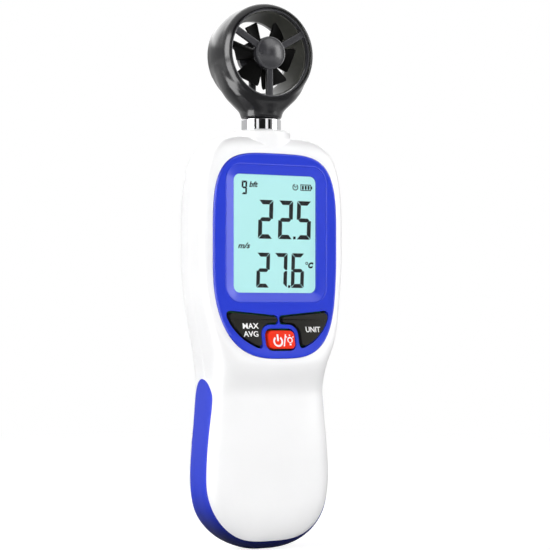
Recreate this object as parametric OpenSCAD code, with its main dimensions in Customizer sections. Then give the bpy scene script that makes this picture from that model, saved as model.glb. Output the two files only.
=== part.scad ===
// Handheld weather meter: a two-shell housing with a display, three keys, a grip band
// and a vane head that turns on a chromed collar.
// X runs across, Y from the front (negative) to the back, Z from the foot to the head.
// Millimetres throughout.

/* [Housing] */
// Height of the shoulders above the foot
body_h = 149.6; // [136:0.1:165]
// Width of the lower body
low_w = 50.6; // [49.5:0.1:52]
// Width of the waist
waist_w = 45.6; // [45:0.1:47]
// Width of the upper body
up_w = 57.8; // [57:0.1:59]
// Height of the waist
waist_z = 63; // [61:0.5:65]
// Depth of the back behind the stem axis
back_d = 15.5; // [15.2:0.1:16]
// Depth of the lower front before the stem axis
low_d = 13; // [12.6:0.1:13.6]
// Thickness of the moulded walls
wall = 2.4; // [2.2:0.1:2.5]

/* [Display panel] */
// Depth of the panel face before the stem axis at the display
panel_d = 12.3; // [12:0.1:12.6]
// Radius of the curve that carries the panel forward under the keys
chin_r = 90; // [86:1:100]
// Half width of the panel
panel_hw = 25; // [24.8:0.1:25.2]
// Height of the panel
panel_h = 73.9; // [73:0.1:74.5]
// Drop of the panel's top below the shoulders
panel_drop = 6; // [5.6:0.1:6.6]
// Thickness of the panel
panel_t = 2; // [1.8:0.1:2.1]
// Height the panel stands proud of the shell
panel_proud = 0.6; // [0.4:0.1:0.8]
// Width of the display opening
view_w = 33.6; // [31:0.1:34]
// Height of the display opening
view_h = 42.5; // [40:0.1:43]
// Drop of the middle of the display below the panel's top
view_drop = 29; // [28.6:0.1:29.6]
// Width of the sloped border round the display
slope_w = 3.4; // [2.5:0.1:3.6]
// Depth of the display face behind the panel face
slope_d = 0.8; // [0.6:0.1:0.9]

/* [Keys] */
// Height the keys stand above the panel
key_proud = 1; // [0.8:0.1:1.4]
// Travel of a key
key_travel = 0.9; // [0.5:0.1:1]
// Gap round a key
key_gap = 0.3; // [0.2:0.05:0.4]
// Width of the power key
power_w = 11.4; // [10:0.1:11.8]
// Height of the power key
power_h = 7.2; // [6.4:0.1:7.6]
// Height of the middle of the power key above the panel's foot
power_up = 6.8; // [6.5:0.1:7.3]

/* [Grip] */
// Half width of the grip band on the flanks
grip_hw = 6.6; // [6:0.1:7]
// Height of the grip band's tips
grip_top = 62; // [60:0.5:64]
// Thickness of the grip band
grip_t = 1.3; // [1:0.1:1.4]
// Height the grip stands proud of the shells
grip_proud = 0.2; // [0.1:0.05:0.3]

/* [Vane head] */
// Height of the impeller axis above the collar
head_up = 23.8; // [23.6:0.1:24.6]
// Outer radius of the barrel at its crown
head_r = 18.8; // [18.7:0.1:19.1]
// Reach of the barrel before the stem axis
head_hd = 8.8; // [8.6:0.1:9.2]
// Reach of the barrel behind the stem axis
head_bd = 9.6; // [9.4:0.1:10]
// Radius of the tunnel at the front
tunnel_r = 16.1; // [15.8:0.1:16.1]
// Radius of the tunnel at its throat
throat_r = 13.5; // [13.3:0.1:13.7]
// Radius of the impeller over its blades
blade_r = 11.9; // [11.4:0.1:12.6]
// Number of blades
blades = 6; // [5:1:7]
// Setting angle of the blades
blade_pitch = 38; // [30:1:42]
// Width of a guard spoke
spoke_w = 2.5; // [2.2:0.1:2.8]
// Radius of the guard hub
hub_r = 6; // [5.6:0.1:6.1]
// Radius of the impeller shaft
shaft_r = 0.6; // [0.5:0.05:0.8]

/* [Swivel] */
// Radius of the chromed collar
collar_r = 7.25; // [7.1:0.05:7.4]
// Height of the moulded neck above the shoulders
neck_h = 3.3; // [3.1:0.1:3.5]
// Height of the chromed collar above the neck
collar_h = 3.8; // [3.6:0.1:4]
// Radius of the moulded neck under the collar
neck_r = 10.65; // [10.4:0.05:10.9]
// Radius of the turning stem
stem_r = 5; // [4.8:0.05:5.1]
// Running clearance of turning fits
run = 0.05; // [0.03:0.01:0.08]

/* [Battery bay] */
// Radius of a cell
cell_r = 5.2; // [5:0.05:5.25]
// Length of a cell with its cap
cell_l = 44.5; // [44:0.1:44.6]
// Spacing of the cells
cell_pitch = 10.9; // [10.7:0.05:11]
// Half width of the bay
bay_hw = 17.2; // [17:0.1:17.3]
// Height of the bay's foot
bay_lo = 13.6; // [13.5:0.1:13.8]
// Height of the bay's top
bay_hi = 65; // [64.8:0.1:65.2]
// Depth of the bay floor behind the stem axis
bay_y = 2.9; // [2.7:0.1:3]
// Thickness of the battery door
door_t = 1.6; // [1.4:0.1:1.7]
// Gap round the battery door
door_gap = 0.25; // [0.2:0.05:0.35]

/* [Hidden] */
$fn = 48;
low_z = 27;
panel_hi = body_h - panel_drop;
panel_lo = panel_hi - panel_h;
view_z = panel_hi - view_drop;
power_z = panel_lo + power_up;
collar_lo = body_h + neck_h;
collar_hi = collar_lo + collar_h;
head_z = collar_hi + head_up;
up_z = body_h - 41.6;
top_z = body_h - 11.6;
arc_z = panel_lo + 30.3;
chin_z = panel_lo - 1;
ramp_z = chin_z - 12.7;
rear_n = 4;
seg = 16;
shell_d = panel_d - panel_proud;
chin_f = shell_d + pow(arc_z - chin_z, 2) / (2 * chin_r);
waist_f = low_d - 0.6;
board_f = 3.8;
board_t = 1.6;
glass_w = view_w + 2.9;
glass_h = view_h + 2.9;
lens_f = panel_d - slope_d;
slope_k = 2 * (1 + 1.2 / slope_d);
cell_y = bay_y + cell_r + 0.1;
door_lo = bay_lo - 0.3;
door_hi = bay_hi + 0.3;
door_hw = bay_hw + 0.5;
top_boss = [20.3, body_h - 10.3];
bay_boss = [cell_pitch / 2, 25];
post_at = [[21.4, power_z + 14], [20.6, view_z + 16.8]];
low_stations = [0.2, 0.6, 1.4, 2.6, 4.4, 7, 10.5, 15, 20, low_z];
mid_shares = [9, 18, 26, 31, 35, 38.5, 41.5];
top_drops = [78.6, 74.6, 70.1, 64.6, 57.6, 49.6, 37.6, 27.6, 19.6, 13.6, 9.1, 6.1, 3.9, 2.2, 1, 0];
stations = concat(low_stations,
    [for (t = mid_shares) low_z + t / 41.7 * (chin_z - low_z)],
    [for (t = top_drops) body_h - t]);
inner_stations = concat([1, 2.4, 5, 9, 15, 25],
    [for (t = [13, 27, 33, 38]) low_z + t / 41.7 * (chin_z - low_z)],
    [for (t = [80.6, 75.6, 68.6, 58.6, 43.6, 25.6, 15.6, 9.6, 5.6, 2.6, 1.1]) body_h - t]);
grip_stations = [0.4, 1.4, 3, 5.5, 9, 14, 20, 29, 40, 52, 60, 68];

// Shift that sets the origin under the middle of the depth
mid_y = (panel_f(panel_lo) - back_d) / 2;

module placed() translate([0, mid_y, 0]) children();

// Curves of the housing

function clip01(t) = min(1, max(0, t));
function smooth(t) = let (u = clip01(t)) u * u * (3 - 2 * u);
function round_end(u, p) = pow(max(0, 1 - pow(clip01(u), p)), 1 / p);
function spow(v, e) = sign(v) * pow(abs(v), e);

// Half width of the housing at a height
function body_a(z) =
    let (low = low_w / 2, waist = waist_w / 2, up = up_w / 2)
    z < low_z ? low * round_end((low_z - z) / low_z, 2.3) :
    z < waist_z ? waist + (low - waist) * smooth((waist_z - z) / (waist_z - low_z)) :
    z < up_z ? waist + (up - waist) * pow(sin(90 * (z - waist_z) / (up_z - waist_z)), 1.23) :
    up * round_end((z - up_z) / (body_h + 0.8 - up_z), 3.85);

// Reach of the front before the stem axis at a height
function body_f(z) =
    let (foot = round_end((18 - z) / 18, 2), top = round_end((z - top_z) / (body_h + 0.8 - top_z), 3))
    z > arc_z ? shell_d * top :
    z > chin_z ? shell_d + pow(arc_z - z, 2) / (2 * chin_r) :
    z > ramp_z ? waist_f + (chin_f - waist_f) * smooth((z - ramp_z) / (chin_z - ramp_z)) :
    (waist_f + (low_d - waist_f) * smooth((ramp_z - z) / 22)) * foot;

// Reach of the back behind the stem axis before it is cut flat
function body_b(z) =
    let (foot = round_end((18 - z) / 18, 2), top = round_end((z - top_z) / (body_h + 0.8 - top_z), 3))
    (back_d + 0.7) * foot * top;

// Squareness of the front section at a height
function front_n(z) = 3.2 + 7 * smooth((z - panel_lo + 2.7) / 17);

// One half section; a positive inset goes inward and over carries it past the parting plane
function half_ring(z, front, inset, over, k) =
    let (zm = (z - inset) * body_h / (body_h - 2 * inset))
    let (a = body_a(zm) - inset, b = (front ? body_f(zm) : body_b(zm)) - inset)
    let (n = front ? front_n(zm) : rear_n, s = front ? -1 : 1, flat = back_d - inset)
    concat(
        over > 0 ? [[a, -s * over, z]] : [],
        [for (i = [0 : k]) let (p = 180 * i / k)
            let (y = b * pow(abs(sin(p)), 2 / n))
            [a * spow(cos(p), 2 / n), s * (front ? y : min(y, flat)), z]],
        over > 0 ? [[-a, -s * over, z]] : []);

// Solid between half sections
module half_loft(front, inset = 0, over = 0, list = stations, steps = seg) {
    rings = [for (z = list) let (zz = inset + z * (body_h - 2 * inset) / body_h)
        half_ring(zz, front, inset, over, steps)];
    m = len(rings[0]);
    k = len(rings);
    pts = [for (r = rings) each r];
    sides = [for (i = [0 : k - 2], j = [0 : m - 2]) each [
        [i * m + j, i * m + j + 1, (i + 1) * m + j + 1],
        [i * m + j, (i + 1) * m + j + 1, (i + 1) * m + j]]];
    flat = [concat([for (i = [0 : k - 1]) i * m], [for (i = [k - 1 : -1 : 0]) i * m + m - 1])];
    ends = [[for (j = [m - 1 : -1 : 0]) j], [for (j = [0 : m - 1]) (k - 1) * m + j]];
    faces = concat(sides, flat, ends);
    polyhedron(pts, front ? faces : [for (f = faces) [for (i = [len(f) - 1 : -1 : 0]) f[i]]]);
}

// Both halves as one solid
module full_loft(inset, list = stations) {
    half_loft(true, inset, 0.2, list);
    half_loft(false, inset, 0.2, list);
}

// Reach of the panel face before the stem axis at a height
function panel_f(z) = panel_d + pow(max(0, arc_z - z), 2) / (2 * chin_r);

// Everything before the panel face moved back by d
module before_panel(d) {
    side_prism(-40, 40) polygon(concat(
        [[-40, body_h + 10], [d - panel_d, body_h + 10]],
        [for (z = [arc_z : -3 : arc_z - 36]) [d - panel_f(z), z]],
        [[-40, arc_z - 36]]));
}

// Prism along Y of a front outline given in X and Z
module front_prism(y0, y1) {
    translate([0, y1, 0]) rotate([90, 0, 0]) linear_extrude(y1 - y0) children();
}

// Prism along X of a side outline given in Y and Z
module side_prism(x0, x1) {
    translate([x0, 0, 0]) rotate([90, 0, 90]) linear_extrude(x1 - x0) children();
}

module round_rect(w, h, r) {
    translate([-w / 2 + r, -h / 2]) square([w - 2 * r, h]);
    translate([-w / 2, -h / 2 + r]) square([w, h - 2 * r]);
    for (sx = [-1, 1], sy = [-1, 1]) translate([sx * (w / 2 - r), sy * (h / 2 - r)]) circle(r);
}

// Outline of the panel, grown by g
module panel_outline(g = 0) {
    mid = view_z - 4.6;
    polygon([for (i = [0 : 71]) let (t = 5 * i)
        let (up = sin(t) >= 0, p = up ? 4 : 3.5, h = (up ? panel_hi - mid : mid - panel_lo) + g)
        [(panel_hw + g) * spow(cos(t), 2 / p), mid + h * spow(sin(t), 2 / p)]]);
}

// Keys

// Wing key outline, s = -1 for the left one
module wing_outline(s, g = 0) {
    scale([s, 1]) intersection() {
        difference() {
            translate([0.7 - g, power_z - 16.5]) square([21.3 + g, 40]);
            translate([0, power_z - 0.4]) round_rect(power_w + 4.2 - 2 * g, power_h + 4.4 - 2 * g, 4.2 - g);
            translate([0, power_z + 8.25 + g]) rotate(5.3) translate([-30, 0]) square([80, 20]);
            translate([-10, power_z - 26.5]) square([10 + power_w / 2 + 2.1 - g, 26.5]);
        }
        translate([0, power_z + 13.5]) scale([21.3 + g, 18.6 + g]) circle(1, $fn = 48);
    }
}

module wing_round(s, g = 0) {
    r = 1.2;
    offset(r = r, $fn = 16) offset(delta = -r) wing_outline(s, g);
}

module power_outline(g = 0) {
    translate([0, power_z]) round_rect(power_w + 2 * g, power_h + 2 * g, 2.2 + g);
}

// A key between its flange and its face, with the plunger over its switch
module key_body(at) {
    difference() {
        front_prism(-22, -9.2) children(0);
        before_panel(-key_proud);
    }
    front_prism(-10.3, -9.2) children(1);
    translate([at[0], -9.6, at[1]]) rotate([-90, 0, 0])
        cylinder(r = 1.6, h = 9.6 - board_f - 0.9 - key_travel, $fn = 32);
}

wing_sw = [12.4, power_z + 3.9];

// Stop flange behind a wing key, clear of the power key
module wing_flange(s) {
    inner = power_w / 2 + 2 * key_gap;
    outer = wing_sw[0] + 7.5;
    translate([s * (inner + outer) / 2, wing_sw[1] + 0.6]) round_rect(outer - inner, 9.4, 1);
}

module max_avg_key() color([0.23, 0.24, 0.22]) key_body([-wing_sw[0], wing_sw[1]]) {
    wing_round(-1);
    wing_flange(-1);
}

module unit_key() color([0.23, 0.24, 0.22]) key_body(wing_sw) {
    wing_round(1);
    wing_flange(1);
}

module power_key() color([0.86, 0.2, 0.14]) key_body([0, power_z]) {
    power_outline();
    translate([0, power_z - 1.2]) round_rect(8.4, power_h + 1, 1);
}

module key_openings() {
    front_prism(-30, -5) {
        wing_round(-1, key_gap);
        wing_round(1, key_gap);
        power_outline(key_gap);
    }
}

// Housing shells

// Side outline of the grip band as a chain of rounds, grown by g
module grip_outline(g = 0) {
    z = [-8, 6, 12, 18, 30, 42, grip_top - 15, grip_top - 12, grip_top - 9, grip_top - 4.4];
    for (i = [0 : len(z) - 2]) hull() {
        translate([0, z[i]]) circle(grip_at(z[i]) + g);
        translate([0, z[i + 1]]) circle(grip_at(z[i + 1]) + g);
    }
}

function grip_at(z) = (grip_hw - 0.95 * smooth((z - 6) / 12) + 1.6 * smooth((z - grip_top + 20) / 10))
    * (1 - 0.4 * pow(clip01((z - grip_top + 16) / 11.6), 2));

// Space that the grip takes from the shells
module grip_seat() {
    difference() {
        side_prism(-40, 40) grip_outline(0.05);
        full_loft(grip_t + 0.05, grip_stations);
    }
}

// Moulded neck, with the seat of the collar
module neck_half(s) {
    intersection() {
        union() {
            translate([0, 0, body_h - 10.5]) cylinder(r = neck_r, h = collar_lo - body_h + 10.5);
            translate([0, 0, body_h - 1.2]) scale([1, neck_r / (neck_r + 1.8), 1]) rotate_extrude() polygon(concat(
                [[neck_r - 1, -1], [neck_r + 1.8, -1]],
                [for (t = [0 : 15 : 90]) [neck_r + 1.8 - 1.8 * sin(t), 2.6 - 1.8 * cos(t)]],
                [[neck_r - 1, 2.6]]));
        }
        translate([-20, s > 0 ? 0 : -20, body_h - 10.5]) cube([40, 20, 30]);
    }
}

module collar_seat() {
    translate([0, 0, body_h - 4]) cylinder(r = collar_r - 0.5, h = 20);
    translate([0, 0, body_h - 14]) cylinder(r = collar_r + 0.9, h = 12.1);
}

// Boss with two ribs
module boss(at, y0, y1, r) {
    translate([at[0], y0, at[1]]) rotate([-90, 0, 0]) cylinder(r = r, h = y1 - y0, $fn = 20);
    for (a = [0, 90]) hull() for (d = [-1, 1])
        translate([at[0] + d * (r + 0.7) * cos(a), y0, at[1] + d * (r + 0.7) * sin(a)])
            rotate([-90, 0, 0]) cylinder(r1 = 0.5, r2 = 0.25, h = (y1 - y0) * 0.7, $fn = 4);
}

module pilot(at, y0, y1, r) {
    translate([at[0], y0, at[1]]) rotate([-90, 0, 0]) cylinder(r = r, h = y1 - y0, $fn = 16);
}

module front_shell() color([0.93, 0.93, 0.92]) difference() {
    union() {
        difference() {
            union() {
                half_loft(true);
                neck_half(-1);
            }
            half_loft(true, wall, 1, inner_stations, 12);
        }
        intersection() {
            half_loft(true, wall / 2, 0, inner_stations, 12);
            union() {
                for (s = [-1, 1]) {
                    boss([s * top_boss[0], top_boss[1]], -12, 0, 2.6);
                    boss([s * bay_boss[0], bay_boss[1]], -14, 0, 2.6);
                    for (p = post_at) boss([s * p[0], p[1]], -16, -board_f, 2);
                }
            }
        }
    }
    intersection() {
        front_prism(-30, -5) panel_outline(0.1);
        before_panel(panel_t + 0.05);
    }
    front_prism(-30, -6) translate([0, view_z]) round_rect(glass_w + 0.6, glass_h + 0.6, 1);
    key_openings();
    grip_seat();
    collar_seat();
    for (s = [-1, 1]) {
        pilot([s * top_boss[0], top_boss[1]], -8, 1, 1);
        pilot([s * bay_boss[0], bay_boss[1]], -9, 1, 1);
        for (p = post_at) pilot([s * p[0], p[1]], -8.5, 0, 0.75);
    }
}

// Outline of the battery door, grown by g
module door_outline(g = 0) {
    translate([0, (door_lo + door_hi) / 2])
        round_rect(2 * door_hw + 2 * g, door_hi - door_lo + 2 * g, 3 + g);
}

hook_at = [-cell_pitch / 2, cell_pitch / 2];

module rear_shell() color([0.93, 0.93, 0.92]) difference() {
    union() {
        difference() {
            union() {
                half_loft(false);
                neck_half(1);
            }
            half_loft(false, wall, 1, inner_stations, 12);
        }
        intersection() {
            half_loft(false, 0.4, 0, stations, 12);
            union() {
                translate([-bay_hw - 1.6, 0.9, bay_lo - 1.6])
                    cube([2 * bay_hw + 3.2, 20, bay_hi - bay_lo + 3.2]);
                for (s = [-1, 1]) {
                    boss([s * top_boss[0], top_boss[1]], 0, 16, 2.6);
                    boss([s * bay_boss[0], bay_boss[1]], 0, 2, 2.6);
                    boss([s * 21.5, power_z + 7.5], 4, 16, 1.4);
                    boss([s * 21.5, view_z - 2.4], 4, 16, 1.4);
                }
            }
        }
    }
    translate([-bay_hw, bay_y, bay_lo]) cube([2 * bay_hw, 20, bay_hi - bay_lo]);
    difference() {
        front_prism(5, 30) door_outline(door_gap);
        half_loft(false, door_t + 0.15, 1, inner_stations);
    }
    for (x = hook_at) translate([x - 2.7, 11, bay_lo - 2.2]) cube([5.4, 1.9, 3]);
    grip_seat();
    collar_seat();
    for (s = [-1, 1]) {
        pilot([s * top_boss[0], top_boss[1]], -1, 20, 1.2);
        pilot([s * top_boss[0], top_boss[1]], 4, 20, 2.2);
        pilot([s * bay_boss[0], bay_boss[1]], -1, 5, 1.2);
        pilot([s * bay_boss[0], bay_boss[1]], 1.5, 5, 2.2);
    }
}

module battery_door() color([0.93, 0.93, 0.92]) {
    difference() {
        intersection() {
            half_loft(false, 0, 0, [for (z = stations) if (z > door_lo - 5.3 && z < door_hi + 10.7) z]);
            front_prism(5, 30) door_outline();
        }
        half_loft(false, door_t, 1, inner_stations);
    }
    for (x = hook_at) {
        translate([x - 2, 11.4, door_lo + 0.5]) cube([4, 2.9, 1.5]);
        translate([x - 2, 11.4, bay_lo - 1.6]) cube([4, 1.2, 2]);
    }
}

module grip_band() color([0.2, 0.22, 0.78]) intersection() {
    difference() {
        full_loft(-grip_proud, [for (z = stations) if (z < grip_top + 12) z]);
        full_loft(grip_t, grip_stations);
    }
    side_prism(-40, 40) grip_outline();
}

// Display

module display_bezel() color([0.2, 0.22, 0.78]) difference() {
    front_prism(-30, -5) panel_outline();
    before_panel(0);
    difference() {
        translate([-35, -25, panel_lo - 3.7]) cube([70, 40, panel_h + 16]);
        before_panel(panel_t);
    }
    hull() {
        front_prism(-panel_d - 1.3, -panel_d - 1.2) translate([0, view_z])
            round_rect(view_w + slope_k * slope_w, view_h + slope_k * slope_w, 2.4 + slope_k, $fn = 32);
        front_prism(-lens_f, -lens_f + 0.1) translate([0, view_z]) round_rect(view_w, view_h, 2.4, $fn = 32);
    }
    front_prism(-30, -5) translate([0, view_z]) round_rect(view_w, view_h, 2.4);
    front_prism(-lens_f + 0.45, -5) translate([0, view_z]) round_rect(view_w + 3.2, view_h + 3.2, 2);
    key_openings();
}

module display_window() color([0.8, 0.95, 0.95, 0.4]) {
    front_prism(-lens_f, -lens_f + 0.6) translate([0, view_z]) round_rect(view_w - 0.1, view_h - 0.1, 2.35);
    front_prism(-lens_f + 0.5, -lens_f + 1.15) translate([0, view_z])
        round_rect(view_w + 3, view_h + 3, 1.9);
}

glass_f = lens_f - 1.2;

module lcd_glass() color([0.73, 0.95, 0.93])
    front_prism(-glass_f, -glass_f + 2.4) translate([0, view_z]) square([glass_w, glass_h], center = true);

module lcd_backlight() color([0.95, 0.97, 0.97])
    front_prism(-glass_f + 2.45, -board_f - 0.8) translate([0, view_z])
        square([glass_w - 1, glass_h - 7], center = true);

module lcd_connectors() color([0.25, 0.25, 0.27])
    for (s = [-1, 1]) front_prism(-glass_f + 2.45, -board_f - 0.05)
        translate([0, view_z + s * (glass_h / 2 - 1.6)]) square([glass_w - 2, 2], center = true);

board_side = [[18.6, power_z - 7.5], [18.6, power_z + 3.5], [23, power_z + 8.5], [23, body_h - 14.8],
    [16.6, body_h - 14.8], [16.6, top_z]];

module main_board() color([0.1, 0.4, 0.2]) difference() {
    front_prism(-board_f, -board_f + board_t)
        polygon(concat(board_side, [for (i = [len(board_side) - 1 : -1 : 0]) [-board_side[i][0], board_side[i][1]]]));
    for (s = [-1, 1], p = post_at) pilot([s * p[0], p[1]], -6, 0, 0.95);
}

module controller_chip() color([0.1, 0.1, 0.1])
    translate([-6, -board_f + board_t, view_z - 10.4]) cube([12, 1.4, 12]);

module dome_switches() color([0.75, 0.75, 0.78])
    for (p = [[-wing_sw[0], wing_sw[1]], wing_sw, [0, power_z]])
        translate([p[0], -board_f, p[1]]) rotate([90, 0, 0]) cylinder(r1 = 2.6, r2 = 1.6, h = 0.8, $fn = 32);

module board_screws() color([0.6, 0.6, 0.62])
    for (s = [-1, 1], p = post_at) translate([s * p[0], 0, p[1]]) rotate([-90, 0, 0]) {
        translate([0, 0, -7.6]) cylinder(r = 0.72, h = 7.7 - board_f + board_t, $fn = 24);
        translate([0, 0, -board_f + board_t]) cylinder(r = 1.5, h = 1, $fn = 24);
    }

module case_screws() color([0.5, 0.5, 0.52]) for (s = [-1, 1]) {
    case_screw([s * top_boss[0], top_boss[1]], 4);
    case_screw([s * bay_boss[0], bay_boss[1]], 1.5);
}

// Screw whose head bears at depth y
module case_screw(at, y) translate([at[0], 0, at[1]]) rotate([-90, 0, 0]) difference() {
    union() {
        translate([0, 0, -7]) cylinder(r = 0.95, h = 7 + y + 0.1, $fn = 24);
        translate([0, 0, y]) cylinder(r = 1.95, h = 1.2, $fn = 32);
    }
    for (a = [0, 90]) rotate([0, 0, a]) translate([-1.2, -0.2, y + 0.6]) cube([2.4, 0.4, 1]);
}

// Battery bay

// Cell standing on its flat end, or turned over
module cell(x, up) translate([x, cell_y, up ? bay_lo + 5 : bay_lo + 1.5 + cell_l])
    rotate([up ? 0 : 180, 0, 0]) {
        cylinder(r = cell_r, h = cell_l - 1.2, $fn = 48);
        cylinder(r = 1.9, h = cell_l, $fn = 32);
    }

module cell_left() color([0.15, 0.35, 0.2]) cell(-cell_pitch, true);

module cell_middle() color([0.15, 0.35, 0.2]) cell(0, false);

module cell_right() color([0.15, 0.35, 0.2]) cell(cell_pitch, true);

// Coil of round wire rising from z = 0
module coil(turns, r0, r1, h, wire) {
    n = 12 * turns;
    m = 5;
    pts = [for (i = [0 : n]) let (t = i / n, a = 360 * turns * t, r = r0 + (r1 - r0) * t)
        each [for (j = [0 : m - 1]) let (b = 360 * j / m)
            [(r + wire * cos(b)) * cos(a), (r + wire * cos(b)) * sin(a), wire + (h - 2 * wire) * t + wire * sin(b)]]];
    sides = [for (i = [0 : n - 1], j = [0 : m - 1]) let (k = (j + 1) % m) each [
        [i * m + j, (i + 1) * m + k, (i + 1) * m + j],
        [i * m + j, i * m + k, (i + 1) * m + k]]];
    ends = [[for (j = [m - 1 : -1 : 0]) j], [for (j = [0 : m - 1]) n * m + j]];
    polyhedron(pts, [for (f = concat(sides, ends)) [for (i = [len(f) - 1 : -1 : 0]) f[i]]]);
}

module battery_springs() color([0.8, 0.8, 0.82]) {
    for (s = [-1, 1]) translate([s * cell_pitch, cell_y, bay_lo + 0.5]) coil(3, 3.4, 2, 4.45, 0.25);
    translate([0, cell_y, bay_hi - 0.5]) rotate([180, 0, 0]) coil(3, 3.4, 2, 4.45, 0.25);
}

module contact_plates() color([0.8, 0.8, 0.82]) {
    for (z = [bay_lo + 0.05, bay_hi - 0.45], x = [-cell_pitch, 0, cell_pitch])
        translate([x - 4.2, cell_y - 4.2, z]) cube([8.4, 6.9, 0.4]);
    for (x = [-cell_pitch, cell_pitch])
        translate([x, cell_y, bay_hi - 1.9]) cylinder(r = 1.5, h = 1.6, $fn = 32);
    translate([0, cell_y, bay_lo + 0.2]) cylinder(r = 1.5, h = 1.25, $fn = 32);
}

// Swivel

module swivel_collar() color([0.8, 0.8, 0.82]) rotate_extrude() polygon([
    [stem_r + run, body_h - 3.8], [collar_r + 0.8, body_h - 3.8], [collar_r + 0.8, body_h - 2.1],
    [collar_r - 0.6, body_h - 2.1], [collar_r - 0.6, collar_lo + 0.05], [collar_r - 0.25, collar_lo + 0.05],
    [collar_r, collar_lo + 0.3], [collar_r, collar_hi - 0.3], [collar_r - 0.3, collar_hi],
    [stem_r + run, collar_hi]]);

stem_lo = body_h - 8.6;
neck_lo = collar_hi + 0.3;
socket_hi = neck_lo + 5.4;

module head_stem() color([0.08, 0.08, 0.09]) difference() {
    translate([0, 0, stem_lo]) cylinder(r = stem_r, h = socket_hi - 0.1 - stem_lo);
    translate([0, 0, stem_lo - 1]) cylinder(r = stem_r - 1.6, h = 40);
    translate([0, 0, body_h - 5.3]) difference() {
        cylinder(r = stem_r + 1, h = 1.1);
        translate([0, 0, -1]) cylinder(r = stem_r - 0.7, h = 4);
    }
}

module stem_clip() color([0.55, 0.55, 0.58]) translate([0, 0, body_h - 5.25]) difference() {
    cylinder(r = stem_r + 1.6, h = 1);
    translate([0, 0, -1]) cylinder(r = stem_r - 0.65, h = 3);
    translate([-1.6, 0, -1]) cube([3.2, 10, 3]);
}

// Vane head

// Turns a shape made about Z onto the impeller axis, with its start towards the front
module on_axis() translate([0, 0, head_z]) rotate([-90, 0, 0]) children();

module tunnel() on_axis() rotate_extrude() polygon([
    [0, -head_hd - 1], [tunnel_r, -head_hd - 1], [tunnel_r, -head_hd + 3.4], [tunnel_r - 1.1, -head_hd + 3.4],
    [throat_r, 2], [throat_r, head_bd - 3.4], [throat_r + 0.8, head_bd - 3.4], [throat_r + 0.8, head_bd + 1],
    [0, head_bd + 1]]);

// Barrel section between the rims, crowned over its depth
module barrel() on_axis() rotate_extrude() polygon(concat(
    [[8, -head_hd]],
    [for (t = [0 : 15 : 90]) [head_r - 2.6 + 1.8 * sin(t), -head_hd + 1.8 - 1.8 * cos(t)]],
    [for (y = [-4 : 2 : 4]) [head_r - 0.8 * pow(y / 7, 2), y + 0.4]],
    [for (t = [90 : -15 : 0]) [head_r - 2.6 + 1.8 * sin(t), head_bd - 1.8 + 1.8 * cos(t)]],
    [[8, head_bd]]));

// Flare from the collar to the barrel
module head_neck() intersection() {
    translate([0, 0, neck_lo]) rotate_extrude() polygon([
        [0, 0], [6.9, 0], [7.1, 0.25], [7.3, 1.4], [8.2, 3], [9.6, 4.5], [12.7, 7.4], [15, 10.2],
        [head_r - 2.3, 13], [head_r - 1.1, 16.2], [head_r - 0.6, 18.5], [0, 18.5]]);
    translate([-30, -head_hd + 0.9, 0]) cube([60, head_hd + head_bd - 1.8, 200]);
}

module head_housing() color([0.06, 0.06, 0.07]) difference() {
    union() {
        barrel();
        head_neck();
    }
    tunnel();
    translate([0, 0, neck_lo - 1]) cylinder(r = stem_r + 0.01, h = 1 + 5.4);
    translate([-4.6, -3.6, neck_lo + 5]) cube([9.2, 7.2, 3]);
    translate([0, -1.6, neck_lo]) cylinder(r = 1.2, h = 12, $fn = 32);
}

// Guard with three spokes; y0 is its outer face and its solid runs inward
module guard(ring_r, hub_h) {
    difference() {
        union() {
            difference() {
                cylinder(r = ring_r, h = 2.2);
                translate([0, 0, -1]) cylinder(r = ring_r - 0.7, h = 4);
            }
            translate([0, 0, 0.4]) for (a = [90, 210, 330]) rotate([0, 0, a])
                translate([hub_r - 0.6, -spoke_w / 2, 0]) cube([ring_r - 0.3 - hub_r + 0.6, spoke_w, 1.6]);
            cylinder(r = hub_r, h = hub_h);
        }
        translate([0, 0, hub_h - 1.6]) cylinder(r = 1.65, h = 2, $fn = 32);
    }
}

module front_guard() color([0.06, 0.06, 0.07]) on_axis() translate([0, 0, -head_hd + 1.1]) {
    guard(tunnel_r - 0.03, 2.4);
    intersection() {
        translate([0, 0, 8.6]) sphere(r = 10.1, $fn = 96);
        translate([0, 0, -3]) cylinder(r = hub_r - 0.7, h = 3.05);
    }
}

module rear_guard() color([0.06, 0.06, 0.07]) mirror([0, 1, 0]) on_axis() translate([0, 0, -head_bd + 1.1])
    guard(throat_r + 0.77, 2.4);

front_y = -head_hd + 3.5;
rear_y = head_bd - 3.5;

module bearing() difference() {
    cylinder(r = 1.62, h = 1.55, $fn = 32);
    translate([0, 0, 0.35]) cylinder(r = shaft_r + run / 2, h = 3, $fn = 32);
}

module front_bearing() color([0.75, 0.6, 0.3]) on_axis() translate([0, 0, front_y - 1.58]) bearing();

module rear_bearing() color([0.75, 0.6, 0.3]) on_axis() translate([0, 0, rear_y + 1.58]) mirror([0, 0, 1]) bearing();

module sensor_board() color([0.1, 0.4, 0.2]) translate([-4.2, -3.2, neck_lo + 5.7]) cube([8.4, 6.4, 0.8]);

module pulse_sensor() color([0.1, 0.1, 0.1]) translate([-1.6, 0.4, neck_lo + 6.5]) cube([3.2, 2.4, 1.2]);

module thermistor() color([0.2, 0.2, 0.2]) translate([0, -1.6, neck_lo + 6.5]) {
    cylinder(r = 0.4, h = 1.4, $fn = 24);
    translate([0, 0, 1.9]) sphere(r = 0.8, $fn = 32);
}

imp_y = -1;
hub_len = 5.6;

// One blade: a plate widening to its tip, set at the pitch
module blade() rotate([blade_pitch, 0, 0]) translate([0, 0, -0.4]) linear_extrude(0.8)
    polygon([[1.6, -1.7], [blade_r + 1, -4.3], [blade_r + 1, 4.3], [1.6, 1.7]]);

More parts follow.
